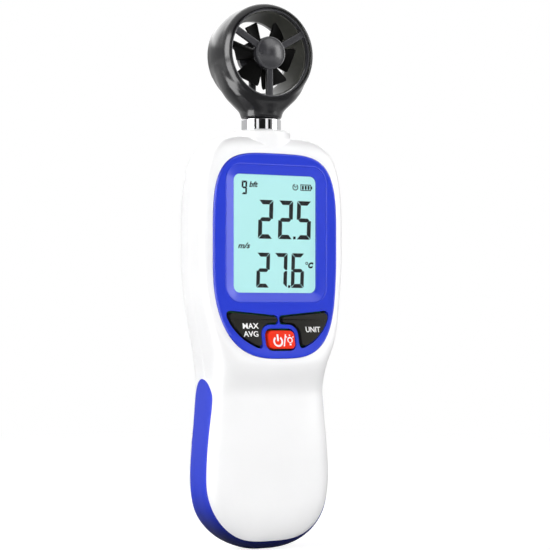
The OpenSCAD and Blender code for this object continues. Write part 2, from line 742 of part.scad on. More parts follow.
module impeller() color([0.1, 0.1, 0.11]) on_axis() translate([0, 0, imp_y]) difference() {
    union() {
        intersection() {
            for (i = [0 : blades - 1]) rotate([0, 0, 360 / blades * i - 116]) blade();
            translate([0, 0, -6]) cylinder(r = blade_r, h = 12);
        }
        translate([0, 0, -hub_len / 2]) cylinder(r = 3, h = hub_len);
    }
    translate([0, 0, -8]) cylinder(r = shaft_r, h = 16, $fn = 32);
}

module impeller_shaft() color([0.7, 0.7, 0.72]) on_axis() translate([0, 0, front_y - 1.2])
    cylinder(r = shaft_r, h = rear_y - front_y + 2.4, $fn = 32);

// Parts

placed() front_shell();
placed() rear_shell();
placed() display_bezel();
placed() display_window();
placed() lcd_glass();
placed() lcd_backlight();
placed() lcd_connectors();
placed() main_board();
placed() controller_chip();
placed() dome_switches();
placed() board_screws();
placed() case_screws();
placed() grip_band();
placed() swivel_collar();
placed() cell_left();
placed() cell_middle();
placed() cell_right();
placed() battery_springs();
placed() contact_plates();
placed() head_housing();
placed() head_stem();
placed() stem_clip();
placed() front_guard();
placed() rear_guard();
placed() front_bearing();
placed() rear_bearing();
placed() sensor_board();
placed() pulse_sensor();
placed() thermistor();
placed() impeller();
placed() impeller_shaft();
placed() max_avg_key();
placed() unit_key();
placed() power_key();
placed() battery_door();
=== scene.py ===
import logging
import math
from dataclasses import dataclass, field
from enum import Enum
from functools import partial
from typing import Callable, Dict, List, Optional, Sequence, Tuple

import bmesh
import bpy
from mathutils import Matrix, Vector


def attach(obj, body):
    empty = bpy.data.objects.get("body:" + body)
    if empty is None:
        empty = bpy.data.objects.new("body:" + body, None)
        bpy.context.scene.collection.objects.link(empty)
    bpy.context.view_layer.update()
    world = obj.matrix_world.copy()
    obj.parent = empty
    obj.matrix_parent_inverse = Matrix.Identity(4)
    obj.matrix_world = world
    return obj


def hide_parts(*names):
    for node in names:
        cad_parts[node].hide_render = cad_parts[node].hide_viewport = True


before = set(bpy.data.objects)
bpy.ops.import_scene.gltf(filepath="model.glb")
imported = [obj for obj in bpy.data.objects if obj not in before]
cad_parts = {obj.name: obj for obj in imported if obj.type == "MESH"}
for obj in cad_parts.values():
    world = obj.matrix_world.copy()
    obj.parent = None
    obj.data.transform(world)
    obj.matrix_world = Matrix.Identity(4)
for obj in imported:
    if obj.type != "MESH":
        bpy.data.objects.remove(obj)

# Sizes in the classes are millimetres about the stem axis; settle() brings a piece to metres in the frame.

LOG = logging.getLogger("weather_meter")
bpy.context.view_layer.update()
MM = 0.001
SHIFT_Y = 0.95025
TO_FRAME = Matrix.Translation((0.0, SHIFT_Y * MM, 0.0)) @ Matrix.Scale(MM, 4)

QUARTER = math.pi / 2.0
MERGE = 1e-4
FAR_FRONT = -30.0
ORIGIN = Vector((0.0, 0.0, 0.0))
ALONG_Y = Vector((0.0, 1.0, 0.0))
ALONG_Z = Vector((0.0, 0.0, 1.0))

Point = Tuple[float, float]
Outline = Sequence[Point]
Ring = Callable[[float], Vector]
Mesh = bmesh.types.BMesh
MeshVert = bmesh.types.BMVert
Piece = bpy.types.Object
Tree = bpy.types.NodeTree
Socket = bpy.types.NodeSocket


class Cut(Enum):
    """How one solid acts on another."""

    TAKE_AWAY = "DIFFERENCE"
    ADD = "UNION"
    KEEP_COMMON = "INTERSECT"


def clip01(value: float) -> float:
    """Value held between 0 and 1."""
    return min(1.0, max(0.0, value))


def ease(value: float) -> float:
    """Smooth step from 0 to 1."""
    held = clip01(value)
    return held * held * (3.0 - 2.0 * held)


def round_end(share: float, power: float) -> float:
    """Quarter of a superellipse that falls from 1 to 0."""
    return max(0.0, 1.0 - clip01(share) ** power) ** (1.0 / power)


def signed_power(value: float, power: float) -> float:
    """Power of the size of a value, with its sign kept."""
    return math.copysign(abs(value) ** power, value)


def mix(a: float, b: float, share: float) -> float:
    """Value between a and b."""
    return a + (b - a) * share


def quarter(steps: int) -> List[float]:
    """Angles from 0 to a quarter turn in equal steps."""
    return [QUARTER * i / steps for i in range(steps + 1)]


def halved(inside: Callable[[float], bool], far: float, rounds: int) -> float:
    """Finds how far a line runs inside a form.

    Args:
        inside: Tells whether a distance along the line is inside.
        far: Distance that is outside.
        rounds: Number of halvings.

    Returns:
        The distance to the form's edge.
    """
    near = 0.0
    for _ in range(rounds):
        middle = (near + far) / 2.0
        if inside(middle):
            near = middle
        else:
            far = middle
    return near


# Working with meshes


def close_holes(bm: Mesh) -> None:
    """Fills open borders and turns the faces outwards.

    Args:
        bm: Mesh that is closed.
    """
    border = [edge for edge in bm.edges if edge.is_boundary]
    if border:
        bmesh.ops.holes_fill(bm, edges=border, sides=0)
    bmesh.ops.recalc_face_normals(bm, faces=bm.faces)


def ring_stack(segments: int, rings: Sequence[Ring], loop: bool = False) -> Mesh:
    """Lays a grid over a row of closed rings.

    Args:
        segments: Faces round each ring.
        rings: Curves in order; each maps a share of its length to a point.
        loop: Joins the last ring to the first; without it both ends are filled.

    Returns:
        The closed mesh.
    """
    bm = bmesh.new()
    spans = len(rings) if loop else len(rings) - 1
    grid = bmesh.ops.create_grid(bm, x_segments=segments, y_segments=spans, size=1.0)
    for vert in grid["verts"]:
        share = (vert.co.x + 1.0) / 2.0
        level = round((vert.co.y + 1.0) / 2.0 * spans)
        vert.co = rings[level % len(rings)](share)
    bmesh.ops.remove_doubles(bm, verts=bm.verts, dist=MERGE)
    close_holes(bm)
    return bm


def turned(profile: Outline, steps: int, axis: Vector, *centres: Vector) -> Mesh:
    """Spins a profile of radius and height about an axis, once at each centre.

    Args:
        profile: Radius and height pairs; a closed outline unless both ends lie on the axis.
        steps: Faces round the turn.
        axis: Y or Z direction of the turn.
        centres: Points on the axes, from which heights count.

    Returns:
        The mesh of all the turned solids.
    """
    bm = bmesh.new()
    along_y = abs(axis.y) > 0.5
    on_axis = 1e-6
    for centre in centres:
        verts = []
        for radius, height in profile:
            place = Vector((radius, height, 0.0)) if along_y else Vector((radius, 0.0, height))
            verts.append(bm.verts.new(centre + place))
        edges = [bm.edges.new((a, b)) for a, b in zip(verts, verts[1:])]
        if profile[0][0] > on_axis or profile[-1][0] > on_axis:
            edges.append(bm.edges.new((verts[-1], verts[0])))
        bmesh.ops.spin(bm, geom=verts + edges, cent=centre, axis=axis, angle=math.tau, steps=steps,
                       use_merge=True, use_duplicate=False)
        bmesh.ops.remove_doubles(bm, verts=bm.verts, dist=MERGE)
        bmesh.ops.recalc_face_normals(bm, faces=bm.faces)
    return bm


def block(bm: Mesh, low: Sequence[float], high: Sequence[float]) -> List[MeshVert]:
    """Adds a box to a mesh.

    Args:
        bm: Mesh that receives the box.
        low: Its lower corner.
        high: Its upper corner.

    Returns:
        The vertices of the box.
    """
    made = bmesh.ops.create_cube(bm, size=1.0)["verts"]
    span = [b - a for a, b in zip(low, high)]
    bmesh.ops.scale(bm, vec=Vector(span), verts=made)
    bmesh.ops.translate(bm, vec=Vector([(a + b) / 2.0 for a, b in zip(low, high)]), verts=made)
    return made


def round_edges(bm: Mesh, edges: Sequence[bmesh.types.BMEdge], offset: float, segments: int) -> None:
    """Rounds edges of a mesh."""
    bmesh.ops.bevel(bm, geom=edges, affect="EDGES", offset=offset, segments=segments, profile=0.5,
                    material=-1, offset_type="OFFSET", clamp_overlap=True)


def slice_at(bm: Mesh, place: Sequence[float], way: Vector, drop_outer: bool = False,
             drop_inner: bool = False) -> None:
    """Cuts a mesh along a plane.

    Args:
        bm: Mesh that is cut.
        place: A point of the plane.
        way: Direction in which the plane looks.
        drop_outer: Removes what lies before the plane.
        drop_inner: Removes what lies behind it.
    """
    everything = bm.verts[:] + bm.edges[:] + bm.faces[:]
    bmesh.ops.bisect_plane(bm, geom=everything, plane_co=place, plane_no=way, clear_outer=drop_outer,
                           clear_inner=drop_inner)


def pulled(bm: Mesh) -> List[MeshVert]:
    """Extrudes every face and returns the vertices of the new ones."""
    made = bmesh.ops.extrude_face_region(bm, geom=bm.faces[:])
    return [item for item in made["geom"] if isinstance(item, MeshVert)]


def draft(bm: Mesh, name: str) -> Piece:
    """Turns a mesh under work into an object.

    Args:
        bm: Mesh in millimetres, or in metres for the studio.
        name: Name of the object.

    Returns:
        The object, linked to the scene.
    """
    mesh = bpy.data.meshes.new(name)
    bm.to_mesh(mesh)
    bm.free()
    piece = bpy.data.objects.new(name, mesh)
    bpy.context.scene.collection.objects.link(piece)
    return piece


def boxes(name: str, *spans: Tuple[Sequence[float], Sequence[float]]) -> Piece:
    """Object of one or more boxes.

    Args:
        name: Name of the object.
        spans: Lower and upper corner of each box.

    Returns:
        The object.
    """
    bm = bmesh.new()
    for low, high in spans:
        block(bm, low, high)
    return draft(bm, name)


def bake_modifiers(piece: Piece) -> None:
    """Applies the modifiers of a piece to its mesh.

    Args:
        piece: Object that is changed.
    """
    graph = bpy.context.evaluated_depsgraph_get()
    mesh = bpy.data.meshes.new_from_object(piece.evaluated_get(graph))
    piece.modifiers.clear()
    piece.data = mesh


def scrap(tool: Piece) -> None:
    """Removes an object that only helped."""
    bpy.data.objects.remove(tool, do_unlink=True)


def carve(piece: Piece, way: Cut, *tools: Piece, keep: bool = False) -> None:
    """Cuts a piece with other solids, in order.

    Args:
        piece: Object that is changed.
        way: What the tools do.
        tools: Solids that act on it.
        keep: Leaves the tools for another cut.
    """
    for tool in tools:
        cut = piece.modifiers.new("cut", "BOOLEAN")
        cut.operation = way.value
        cut.object = tool
        cut.solver = "MANIFOLD"
        bake_modifiers(piece)
        if not keep:
            scrap(tool)


# Finishes


def feed(tree: Tree, node: bpy.types.Node, feeds: Dict[object, object]) -> None:
    """Gives the inputs of a node their links and values.

    Args:
        tree: Node tree that the node is in.
        node: Node that is fed.
        feeds: Sockets or plain values by the name or number of the input.
    """
    for key, source in feeds.items():
        if isinstance(source, Socket):
            tree.links.new(source, node.inputs[key])
        else:
            node.inputs[key].default_value = source


def add_node(tree: Tree, kind: str, feeds: Optional[Dict[object, object]] = None,
             **settings: object) -> bpy.types.Node:
    """Adds a shader node.

    Args:
        tree: Node tree that receives it.
        kind: End of the node's type name.
        feeds: Sockets or plain values for its inputs.
        settings: Properties of the node.

    Returns:
        The node.
    """
    node = tree.nodes.new("ShaderNode" + kind)
    for key, value in settings.items():
        setattr(node, key, value)
    feed(tree, node, feeds or {})
    return node


def math_node(tree: Tree, operation: str, *feeds: object) -> Socket:
    """Output of a math node fed by sockets or numbers."""
    return add_node(tree, "Math", dict(enumerate(feeds)), operation=operation).outputs[0]


def multiplied(tree: Tree, colour: object, tone: Socket) -> Socket:
    """Output of a node that multiplies a colour by a tone."""
    return add_node(tree, "Mix", {"Factor": 1.0, 6: colour, 7: tone}, data_type="RGBA",
                    blend_type="MULTIPLY").outputs[2]


def seen_ray(tree: Tree) -> Socket:
    """Socket that is 1 for rays which show a surface and 0 for rays which light by it."""
    path = add_node(tree, "LightPath").outputs
    seen = math_node(tree, "MAXIMUM", path["Is Camera Ray"], path["Is Glossy Ray"])
    return math_node(tree, "MAXIMUM", seen, path["Is Transmission Ray"])


def bare_tree(owner: bpy.types.ID) -> Tree:
    """Empty node tree of a material or a world."""
    owner.use_nodes = True
    owner.node_tree.nodes.clear()
    return owner.node_tree


def moulded_grain() -> bpy.types.ShaderNodeTree:
    """Group for spark-eroded moulded plastic: fine height, uneven gloss and a slight tone.

    Returns:
        The group, built once.
    """
    name = "moulded_grain"
    if name in bpy.data.node_groups:
        return bpy.data.node_groups[name]
    group = bpy.data.node_groups.new(name, "ShaderNodeTree")
    group.interface.new_socket("Vector", in_out="INPUT", socket_type="NodeSocketVector")
    for key, value in {"Grain": 2600.0, "Cloud": 45.0, "Gloss": 0.4, "Spread": 0.08}.items():
        group.interface.new_socket(key, in_out="INPUT", socket_type="NodeSocketFloat").default_value = value
    for key in ("Height", "Roughness", "Tone"):
        group.interface.new_socket(key, in_out="OUTPUT", socket_type="NodeSocketFloat")
    source = group.nodes.new("NodeGroupInput").outputs
    sink = group.nodes.new("NodeGroupOutput")
    fine, cloud = (add_node(group, "TexNoise", {"Detail": detail, "Vector": source["Vector"],
                                                "Scale": source[scale]}).outputs["Fac"]
                   for detail, scale in ((3.0, "Grain"), (2.0, "Cloud")))
    swing = math_node(group, "SUBTRACT", cloud, 0.5)
    spread = math_node(group, "MULTIPLY", swing, source["Spread"])
    speck = math_node(group, "MULTIPLY", math_node(group, "SUBTRACT", fine, 0.5), 0.1)
    rough = math_node(group, "ADD", math_node(group, "ADD", source["Gloss"], spread), speck)
    tone = math_node(group, "MULTIPLY_ADD", cloud, 0.06, 0.97)
    feed(group, sink, {"Height": fine, "Roughness": rough, "Tone": tone})
    return group


MADE: Dict[str, bpy.types.Material] = {}


@dataclass(frozen=True)
class Finish:
    """One surface finish as a procedural material."""

    name: str
    colour: Tuple[float, float, float]
    gloss: float = 0.4
    spread: float = 0.08
    grain: float = 2600.0
    depth: float = 0.00002
    metallic: float = 0.0
    specular: float = 0.5
    glow: float = 0.0
    alpha: float = 1.0
    # Height in metres below which painted shade darkens the colour towards the foot.
    foot_shade_height: float = 0.0

    def material(self) -> bpy.types.Material:
        """Builds the material once.

        Returns:
            The material.
        """
        if self.name in MADE:
            return MADE[self.name]
        coat = bpy.data.materials.new(self.name)
        MADE[self.name] = coat
        coat.use_nodes = True
        tree = coat.node_tree
        place = add_node(tree, "TexCoord").outputs["Object"]
        grain = add_node(tree, "Group", {"Vector": place, "Grain": self.grain, "Gloss": self.gloss,
                                         "Spread": self.spread}, node_tree=moulded_grain()).outputs
        tint = multiplied(tree, (*self.colour, 1.0), grain["Tone"])
        bump = add_node(tree, "Bump", {"Strength": 0.35, "Distance": self.depth, "Height": grain["Height"]})
        shader = tree.nodes["Principled BSDF"]
        feed(tree, shader, {
            "Base Color": self.painted_foot_shade(tree, place, tint) if self.foot_shade_height > 0.0 else tint,
            "Roughness": grain["Roughness"], "Normal": bump.outputs["Normal"], "Metallic": self.metallic,
            "Specular IOR Level": self.specular, "Alpha": self.alpha,
        })
        if self.glow > 0.0:
            feed(tree, shader, {"Emission Color": tint, "Emission Strength": self.glow})
        return coat

    def painted_foot_shade(self, tree: Tree, place: Socket, colour: Socket) -> Socket:
        """Darkens a colour towards the foot as painted shade, below the height where that shade starts.

        Args:
            tree: Node tree of the material.
            place: Object coordinates.
            colour: Colour higher up.

        Returns:
            The colour with painted shade at its foot.
        """
        height = add_node(tree, "SeparateXYZ", {0: place}).outputs["Z"]
        rise = add_node(tree, "MapRange", {"Value": height, "From Min": 0.002, "From Max": self.foot_shade_height,
                                           "To Min": 0.10}, interpolation_type="SMOOTHSTEP")
        return multiplied(tree, colour, rise.outputs["Result"])


WHITE_SHELL = Finish("white_moulding", (0.84, 0.84, 0.845), gloss=0.38, spread=0.06, specular=0.4)
BLUE_PANEL = Finish("blue_moulding", (0.019, 0.043, 0.57), gloss=0.21, grain=3000.0, depth=0.00005,
                    specular=0.42)
# The grip's darker foot is painted shade, for an underside that faces away from the light.
BLUE_GRIP = Finish("blue_soft_grip", (0.018, 0.042, 0.56), gloss=0.5, grain=2200.0, depth=0.00003,
                   specular=0.18, foot_shade_height=0.024)
CLEAR_LENS = Finish("clear_lens", (0.9, 1.0, 1.0), gloss=0.06, spread=0.02, depth=0.0, alpha=0.012,
                    specular=0.25)
# The display's glow stands for its backlight and is set strong as painted light, so the bezel's shadow on the
# display fades.
DISPLAY_FACE = Finish("display_aqua", (0.13, 0.237, 0.236), gloss=0.5, spread=0.02, depth=0.0, specular=0.1,
                      glow=2.5)
DISPLAY_INK = Finish("display_black", (0.005, 0.005, 0.006), gloss=0.6, spread=0.02, depth=0.0, specular=0.0)
LIGHT_GUIDE = Finish("frosted_guide", (0.8, 0.84, 0.84), gloss=0.45)
CONNECTOR = Finish("strip_rubber", (0.05, 0.05, 0.055), gloss=0.7)
BOARD = Finish("solder_mask", (0.012, 0.10, 0.035), gloss=0.3, grain=900.0)
EPOXY = Finish("moulded_epoxy", (0.012, 0.012, 0.013), gloss=0.55)
STEEL = Finish("plated_steel", (0.62, 0.62, 0.64), gloss=0.28, metallic=1.0, depth=0.000004)
CHROME = Finish("polished_chrome", (0.86, 0.86, 0.88), gloss=0.06, spread=0.03, metallic=1.0, depth=0.0)
BRASS = Finish("turned_brass", (0.70, 0.48, 0.18), gloss=0.25, metallic=1.0, depth=0.000004)
SLEEVE = Finish("cell_sleeve", (0.02, 0.085, 0.035), gloss=0.25, grain=700.0, depth=0.000004)
HEAD_BLACK = Finish("black_head_moulding", (0.006, 0.006, 0.007), gloss=0.2, spread=0.05, specular=0.45)
# Same black moulding as the head; its lighter grey colour is painted reflection of the glossy tunnel wall,
# and its own specular is near zero.
TUNNEL_BLACK = Finish("tunnel_painted_reflection", (0.062, 0.063, 0.055), gloss=0.34, spread=0.03, depth=0.000004,
                      specular=0.02)
GUARD_BLACK = Finish("black_guard_moulding", (0.032, 0.032, 0.036), gloss=0.25, specular=0.6)
BLADE_BLACK = Finish("black_impeller_moulding", (0.005, 0.005, 0.005), gloss=0.42, specular=0.12)
KEY_DARK = Finish("dark_key_moulding", (0.014, 0.0135, 0.0115), gloss=0.42, grain=3000.0, specular=0.14)
KEY_RED = Finish("red_key_moulding", (0.80, 0.028, 0.006), gloss=0.42, grain=3000.0, specular=0.12)
LEGEND_WHITE = Finish("printed_white", (0.80, 0.80, 0.80), gloss=0.5, depth=0.000005)


def settle(piece: Piece, body: str, coats: Sequence[Finish], stands_for: Sequence[str] = (),
           crease: float = 32.0) -> None:
    """Brings a finished piece to metres in the frame and hands it to its body.

    Args:
        piece: Object in millimetres about the stem axis.
        body: Body that it moves with.
        coats: Finishes in the order of the face indices.
        stands_for: CAD nodes that the piece replaces.
        crease: Angle in degrees above which an edge stays sharp.
    """
    piece.data.transform(TO_FRAME)
    coat_of_face = [face.material_index for face in piece.data.polygons]
    piece.data.materials.clear()
    for coat in coats:
        piece.data.materials.append(coat.material())
    piece.data.polygons.foreach_set("material_index", coat_of_face)
    piece.data.shade_smooth()
    piece.data.set_sharp_from_angle(angle=math.radians(crease))
    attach(piece, body)
    if stands_for:
        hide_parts(*stands_for)
    LOG.info("%s on %s: %d faces", piece.name, body, len(piece.data.polygons))


# Forms of the housing


@dataclass(frozen=True)
class HousingForm:
    """Curves of the housing, shared by every piece that sits in its skin."""

    body_h: float = 149.6
    crown: float = 0.8
    low_w: float = 50.6
    waist_w: float = 45.6
    up_w: float = 57.8
    low_z: float = 27.0
    waist_z: float = 63.0
    up_z: float = 108.0
    foot_n: float = 2.3
    hip_n: float = 1.23
    shoulder_n: float = 3.85
    back_d: float = 15.5
    back_bulge: float = 0.7
    low_d: float = 13.0
    belly_d: float = 0.6
    belly_l: float = 22.0
    ramp_l: float = 12.7
    wall: float = 2.4
    panel_d: float = 12.3
    panel_lo: float = 69.7
    panel_hi: float = 143.6
    panel_hw: float = 25.0
    panel_mid: float = 110.0
    panel_proud: float = 0.6
    panel_top_n: float = 4.0
    panel_low_n: float = 3.0
    arc_z: float = 100.0
    chin_r: float = 90.0
    foot_h: float = 18.0
    top_z: float = 138.0
    rear_n: float = 4.0

    def half_width(self, z: float) -> float:
        """Half width of the housing.

        Args:
            z: Height.

        Returns:
            Half of the width there.
        """
        low, waist, up = self.low_w / 2.0, self.waist_w / 2.0, self.up_w / 2.0
        if z < self.low_z:
            return low * round_end((self.low_z - z) / self.low_z, self.foot_n)
        if z < self.waist_z:
            return waist + (low - waist) * ease((self.waist_z - z) / (self.waist_z - self.low_z))
        if z < self.up_z:
            turn = QUARTER * (z - self.waist_z) / (self.up_z - self.waist_z)
            return waist + (up - waist) * math.sin(turn) ** self.hip_n
        return up * round_end((z - self.up_z) / (self.body_h + self.crown - self.up_z), self.shoulder_n)

    def ends(self, z: float) -> Tuple[float, float]:
        """Shares by which the foot and the shoulders draw the depth in at a height."""
        foot = round_end((self.foot_h - z) / self.foot_h, 2.0)
        return foot, round_end((z - self.top_z) / (self.body_h + self.crown - self.top_z), 3.0)

    def chin(self, z: float) -> float:
        """Reach that the arc under the display adds to the front at a height."""
        return (self.arc_z - z) ** 2 / (2.0 * self.chin_r)

    def front_reach(self, z: float) -> float:
        """Reach of the front before the stem axis.

        Args:
            z: Height.

        Returns:
            The reach there.
        """
        foot, top = self.ends(z)
        shell_d = self.panel_d - self.panel_proud
        chin_z = self.panel_lo - 1.0
        ramp_z = chin_z - self.ramp_l
        waist_f = self.low_d - self.belly_d
        if z > self.arc_z:
            return shell_d * top
        if z > chin_z:
            return shell_d + self.chin(z)
        if z > ramp_z:
            chin_f = shell_d + self.chin(chin_z)
            return waist_f + (chin_f - waist_f) * ease((z - ramp_z) / (chin_z - ramp_z))
        return (waist_f + (self.low_d - waist_f) * ease((ramp_z - z) / self.belly_l)) * foot

    def back_reach(self, z: float) -> float:
        """Reach of the back at a height before it is cut flat."""
        foot, top = self.ends(z)
        return (self.back_d + self.back_bulge) * foot * top

    def front_n(self, z: float) -> float:
        """Squareness of the front section at a height."""
        return 3.2 + 7.0 * ease((z - self.panel_lo + 2.7) / 17.0)

    def section(self, z: float, inset: float) -> Tuple[float, float, float, float]:
        """Section of the form at a height.

        Args:
            z: Height.
            inset: Distance by which the form is set in.

        Returns:
            Half width, front reach, back reach and front squareness.
        """
        level = (z - inset) * self.body_h / (self.body_h - 2.0 * inset)
        level = min(self.body_h, max(0.0, level))
        return (self.half_width(level) - inset, self.front_reach(level) - inset,
                self.back_reach(level) - inset, self.front_n(level))

    def ring(self, z: float, inset: float) -> Ring:
        """Whole section as a closed ring.

        Args:
            z: Height.
            inset: Distance by which the form is set in.

        Returns:
            The ring.
        """
        a, front, back, n = self.section(z, inset)
        flat = self.back_d - inset

        def point(share: float) -> Vector:
            """Point on the section.

            Args:
                share: Share of the way round.

            Returns:
                The point.
            """
            turn = math.tau * (share % 1.0)
            sine, cosine = math.sin(turn), math.cos(turn)
            before = sine >= 0.0
            power = 2.0 / (n if before else self.rear_n)
            deep = abs(sine) ** power
            y = -front * deep if before else min(back * deep, flat)
            return Vector((a * signed_power(cosine, power), y, z))

        return point

    def loft(self, inset: float, segments: int, rows: int) -> Mesh:
        """Closed form of the housing.

        Args:
            inset: Distance by which it is set in.
            segments: Faces round each section.
            rows: Sections less one, closer together at both ends.

        Returns:
            The mesh.
        """
        low, high = inset + 0.2, self.body_h - inset
        levels = [mix(low, high, (1.0 - math.cos(math.pi * i / rows)) / 2.0) for i in range(rows + 1)]
        return ring_stack(segments, [self.ring(z, inset) for z in levels])

    def filled(self, spot: Vector, inset: float) -> bool:
        """Tells whether a point lies inside the form.

        Args:
            spot: The point.
            inset: Distance by which the form is set in.

        Returns:
            True inside.
        """
        x, y, z = spot
        if not inset < z < self.body_h - inset:
            return False
        a, front, back, n = self.section(z, inset)
        deep = front if y < 0.0 else back
        if a <= 0.0 or deep <= 0.0 or y > self.back_d - inset:
            return False
        power = n if y < 0.0 else self.rear_n
        return (abs(x) / a) ** power + (abs(y) / deep) ** power < 1.0

    def skin(self, start: Vector, way: Vector, inset: float) -> Vector:
        """Point where a ray from a start inside leaves the form set in by inset."""
        return start + way * halved(lambda reach: self.filled(start + way * reach, inset), 60.0, 34)

    def panel(self, z: float) -> float:
        """Reach of the panel face before the stem axis at a height."""
        return self.panel_d + self.chin(min(z, self.arc_z))

    def back_y(self, x: float, z: float) -> float:
        """Depth of the back at a place."""
        bow = max(0.0, 1.0 - (abs(x) / self.half_width(z)) ** self.rear_n) ** (1.0 / self.rear_n)
        return min(self.back_reach(z) * bow, self.back_d)

    def panel_outline(self, share: float, grow: float) -> Point:
        """Outline of the display panel in X and Z.

        Args:
            share: Share of the way round.
            grow: Distance by which the outline is grown.

        Returns:
            Point on the outline.
        """
        turn = math.tau * (share % 1.0)
        sine, cosine = math.sin(turn), math.cos(turn)
        upper = sine >= 0.0
        power = 2.0 / (self.panel_top_n if upper else self.panel_low_n)
        height = (self.panel_hi - self.panel_mid if upper else self.panel_mid - self.panel_lo) + grow
        return ((self.panel_hw + grow) * signed_power(cosine, power),
                self.panel_mid + height * signed_power(sine, power))


FORM = HousingForm()


def box_gap(x: float, z: float, w: float, h: float, r: float) -> float:
    """Signed distance of a point from a rounded rectangle about the origin."""
    dx, dz = abs(x) - (w / 2.0 - r), abs(z) - (h / 2.0 - r)
    return math.hypot(max(dx, 0.0), max(dz, 0.0)) + min(max(dx, dz), 0.0) - r


def rounded_box_ray(angle: float, w: float, h: float, r: float) -> Point:
    """Point where a ray from the middle meets a rounded rectangle.

    Args:
        angle: Direction of the ray.
        w: Width of the rectangle.
        h: Height of the rectangle.
        r: Radius of its corners.

    Returns:
        The point.
    """
    c, s = math.cos(angle), math.sin(angle)
    reach = halved(lambda out: box_gap(out * c, out * s, w, h, r) < 0.0, w + h, 40)
    return reach * c, reach * s


def soften(outline: Outline, corners: Dict[int, float]) -> List[Point]:
    """Rounds corners of a closed outline.

    Args:
        outline: Points in order.
        corners: Length cut back on both sides of a corner, by the corner's index.

    Returns:
        The new outline.
    """
    count = len(outline)
    curves: Dict[int, List[Point]] = {}
    dropped = set()
    for corner, reach in corners.items():
        ends = []
        for step in (-1, 1):
            left, here = reach, corner
            while True:
                a, b = outline[here % count], outline[(here + step) % count]
                length = math.dist(a, b)
                if length >= left:
                    break
                left -= length
                here += step
                dropped.add(here % count)
            ends.append([mix(p, q, left / length) for p, q in zip(a, b)])
        shares = [i / 8.0 for i in range(9)]
        curves[corner] = [tuple(mix(mix(p, q, t), mix(q, r, t), t) for p, q, r in
                                zip(ends[0], outline[corner], ends[1])) for t in shares]
    points: List[Point] = []
    for index, spot in enumerate(outline):
        if index in curves:
            points += curves[index]
        elif index not in dropped:
            points.append(spot)
    return points


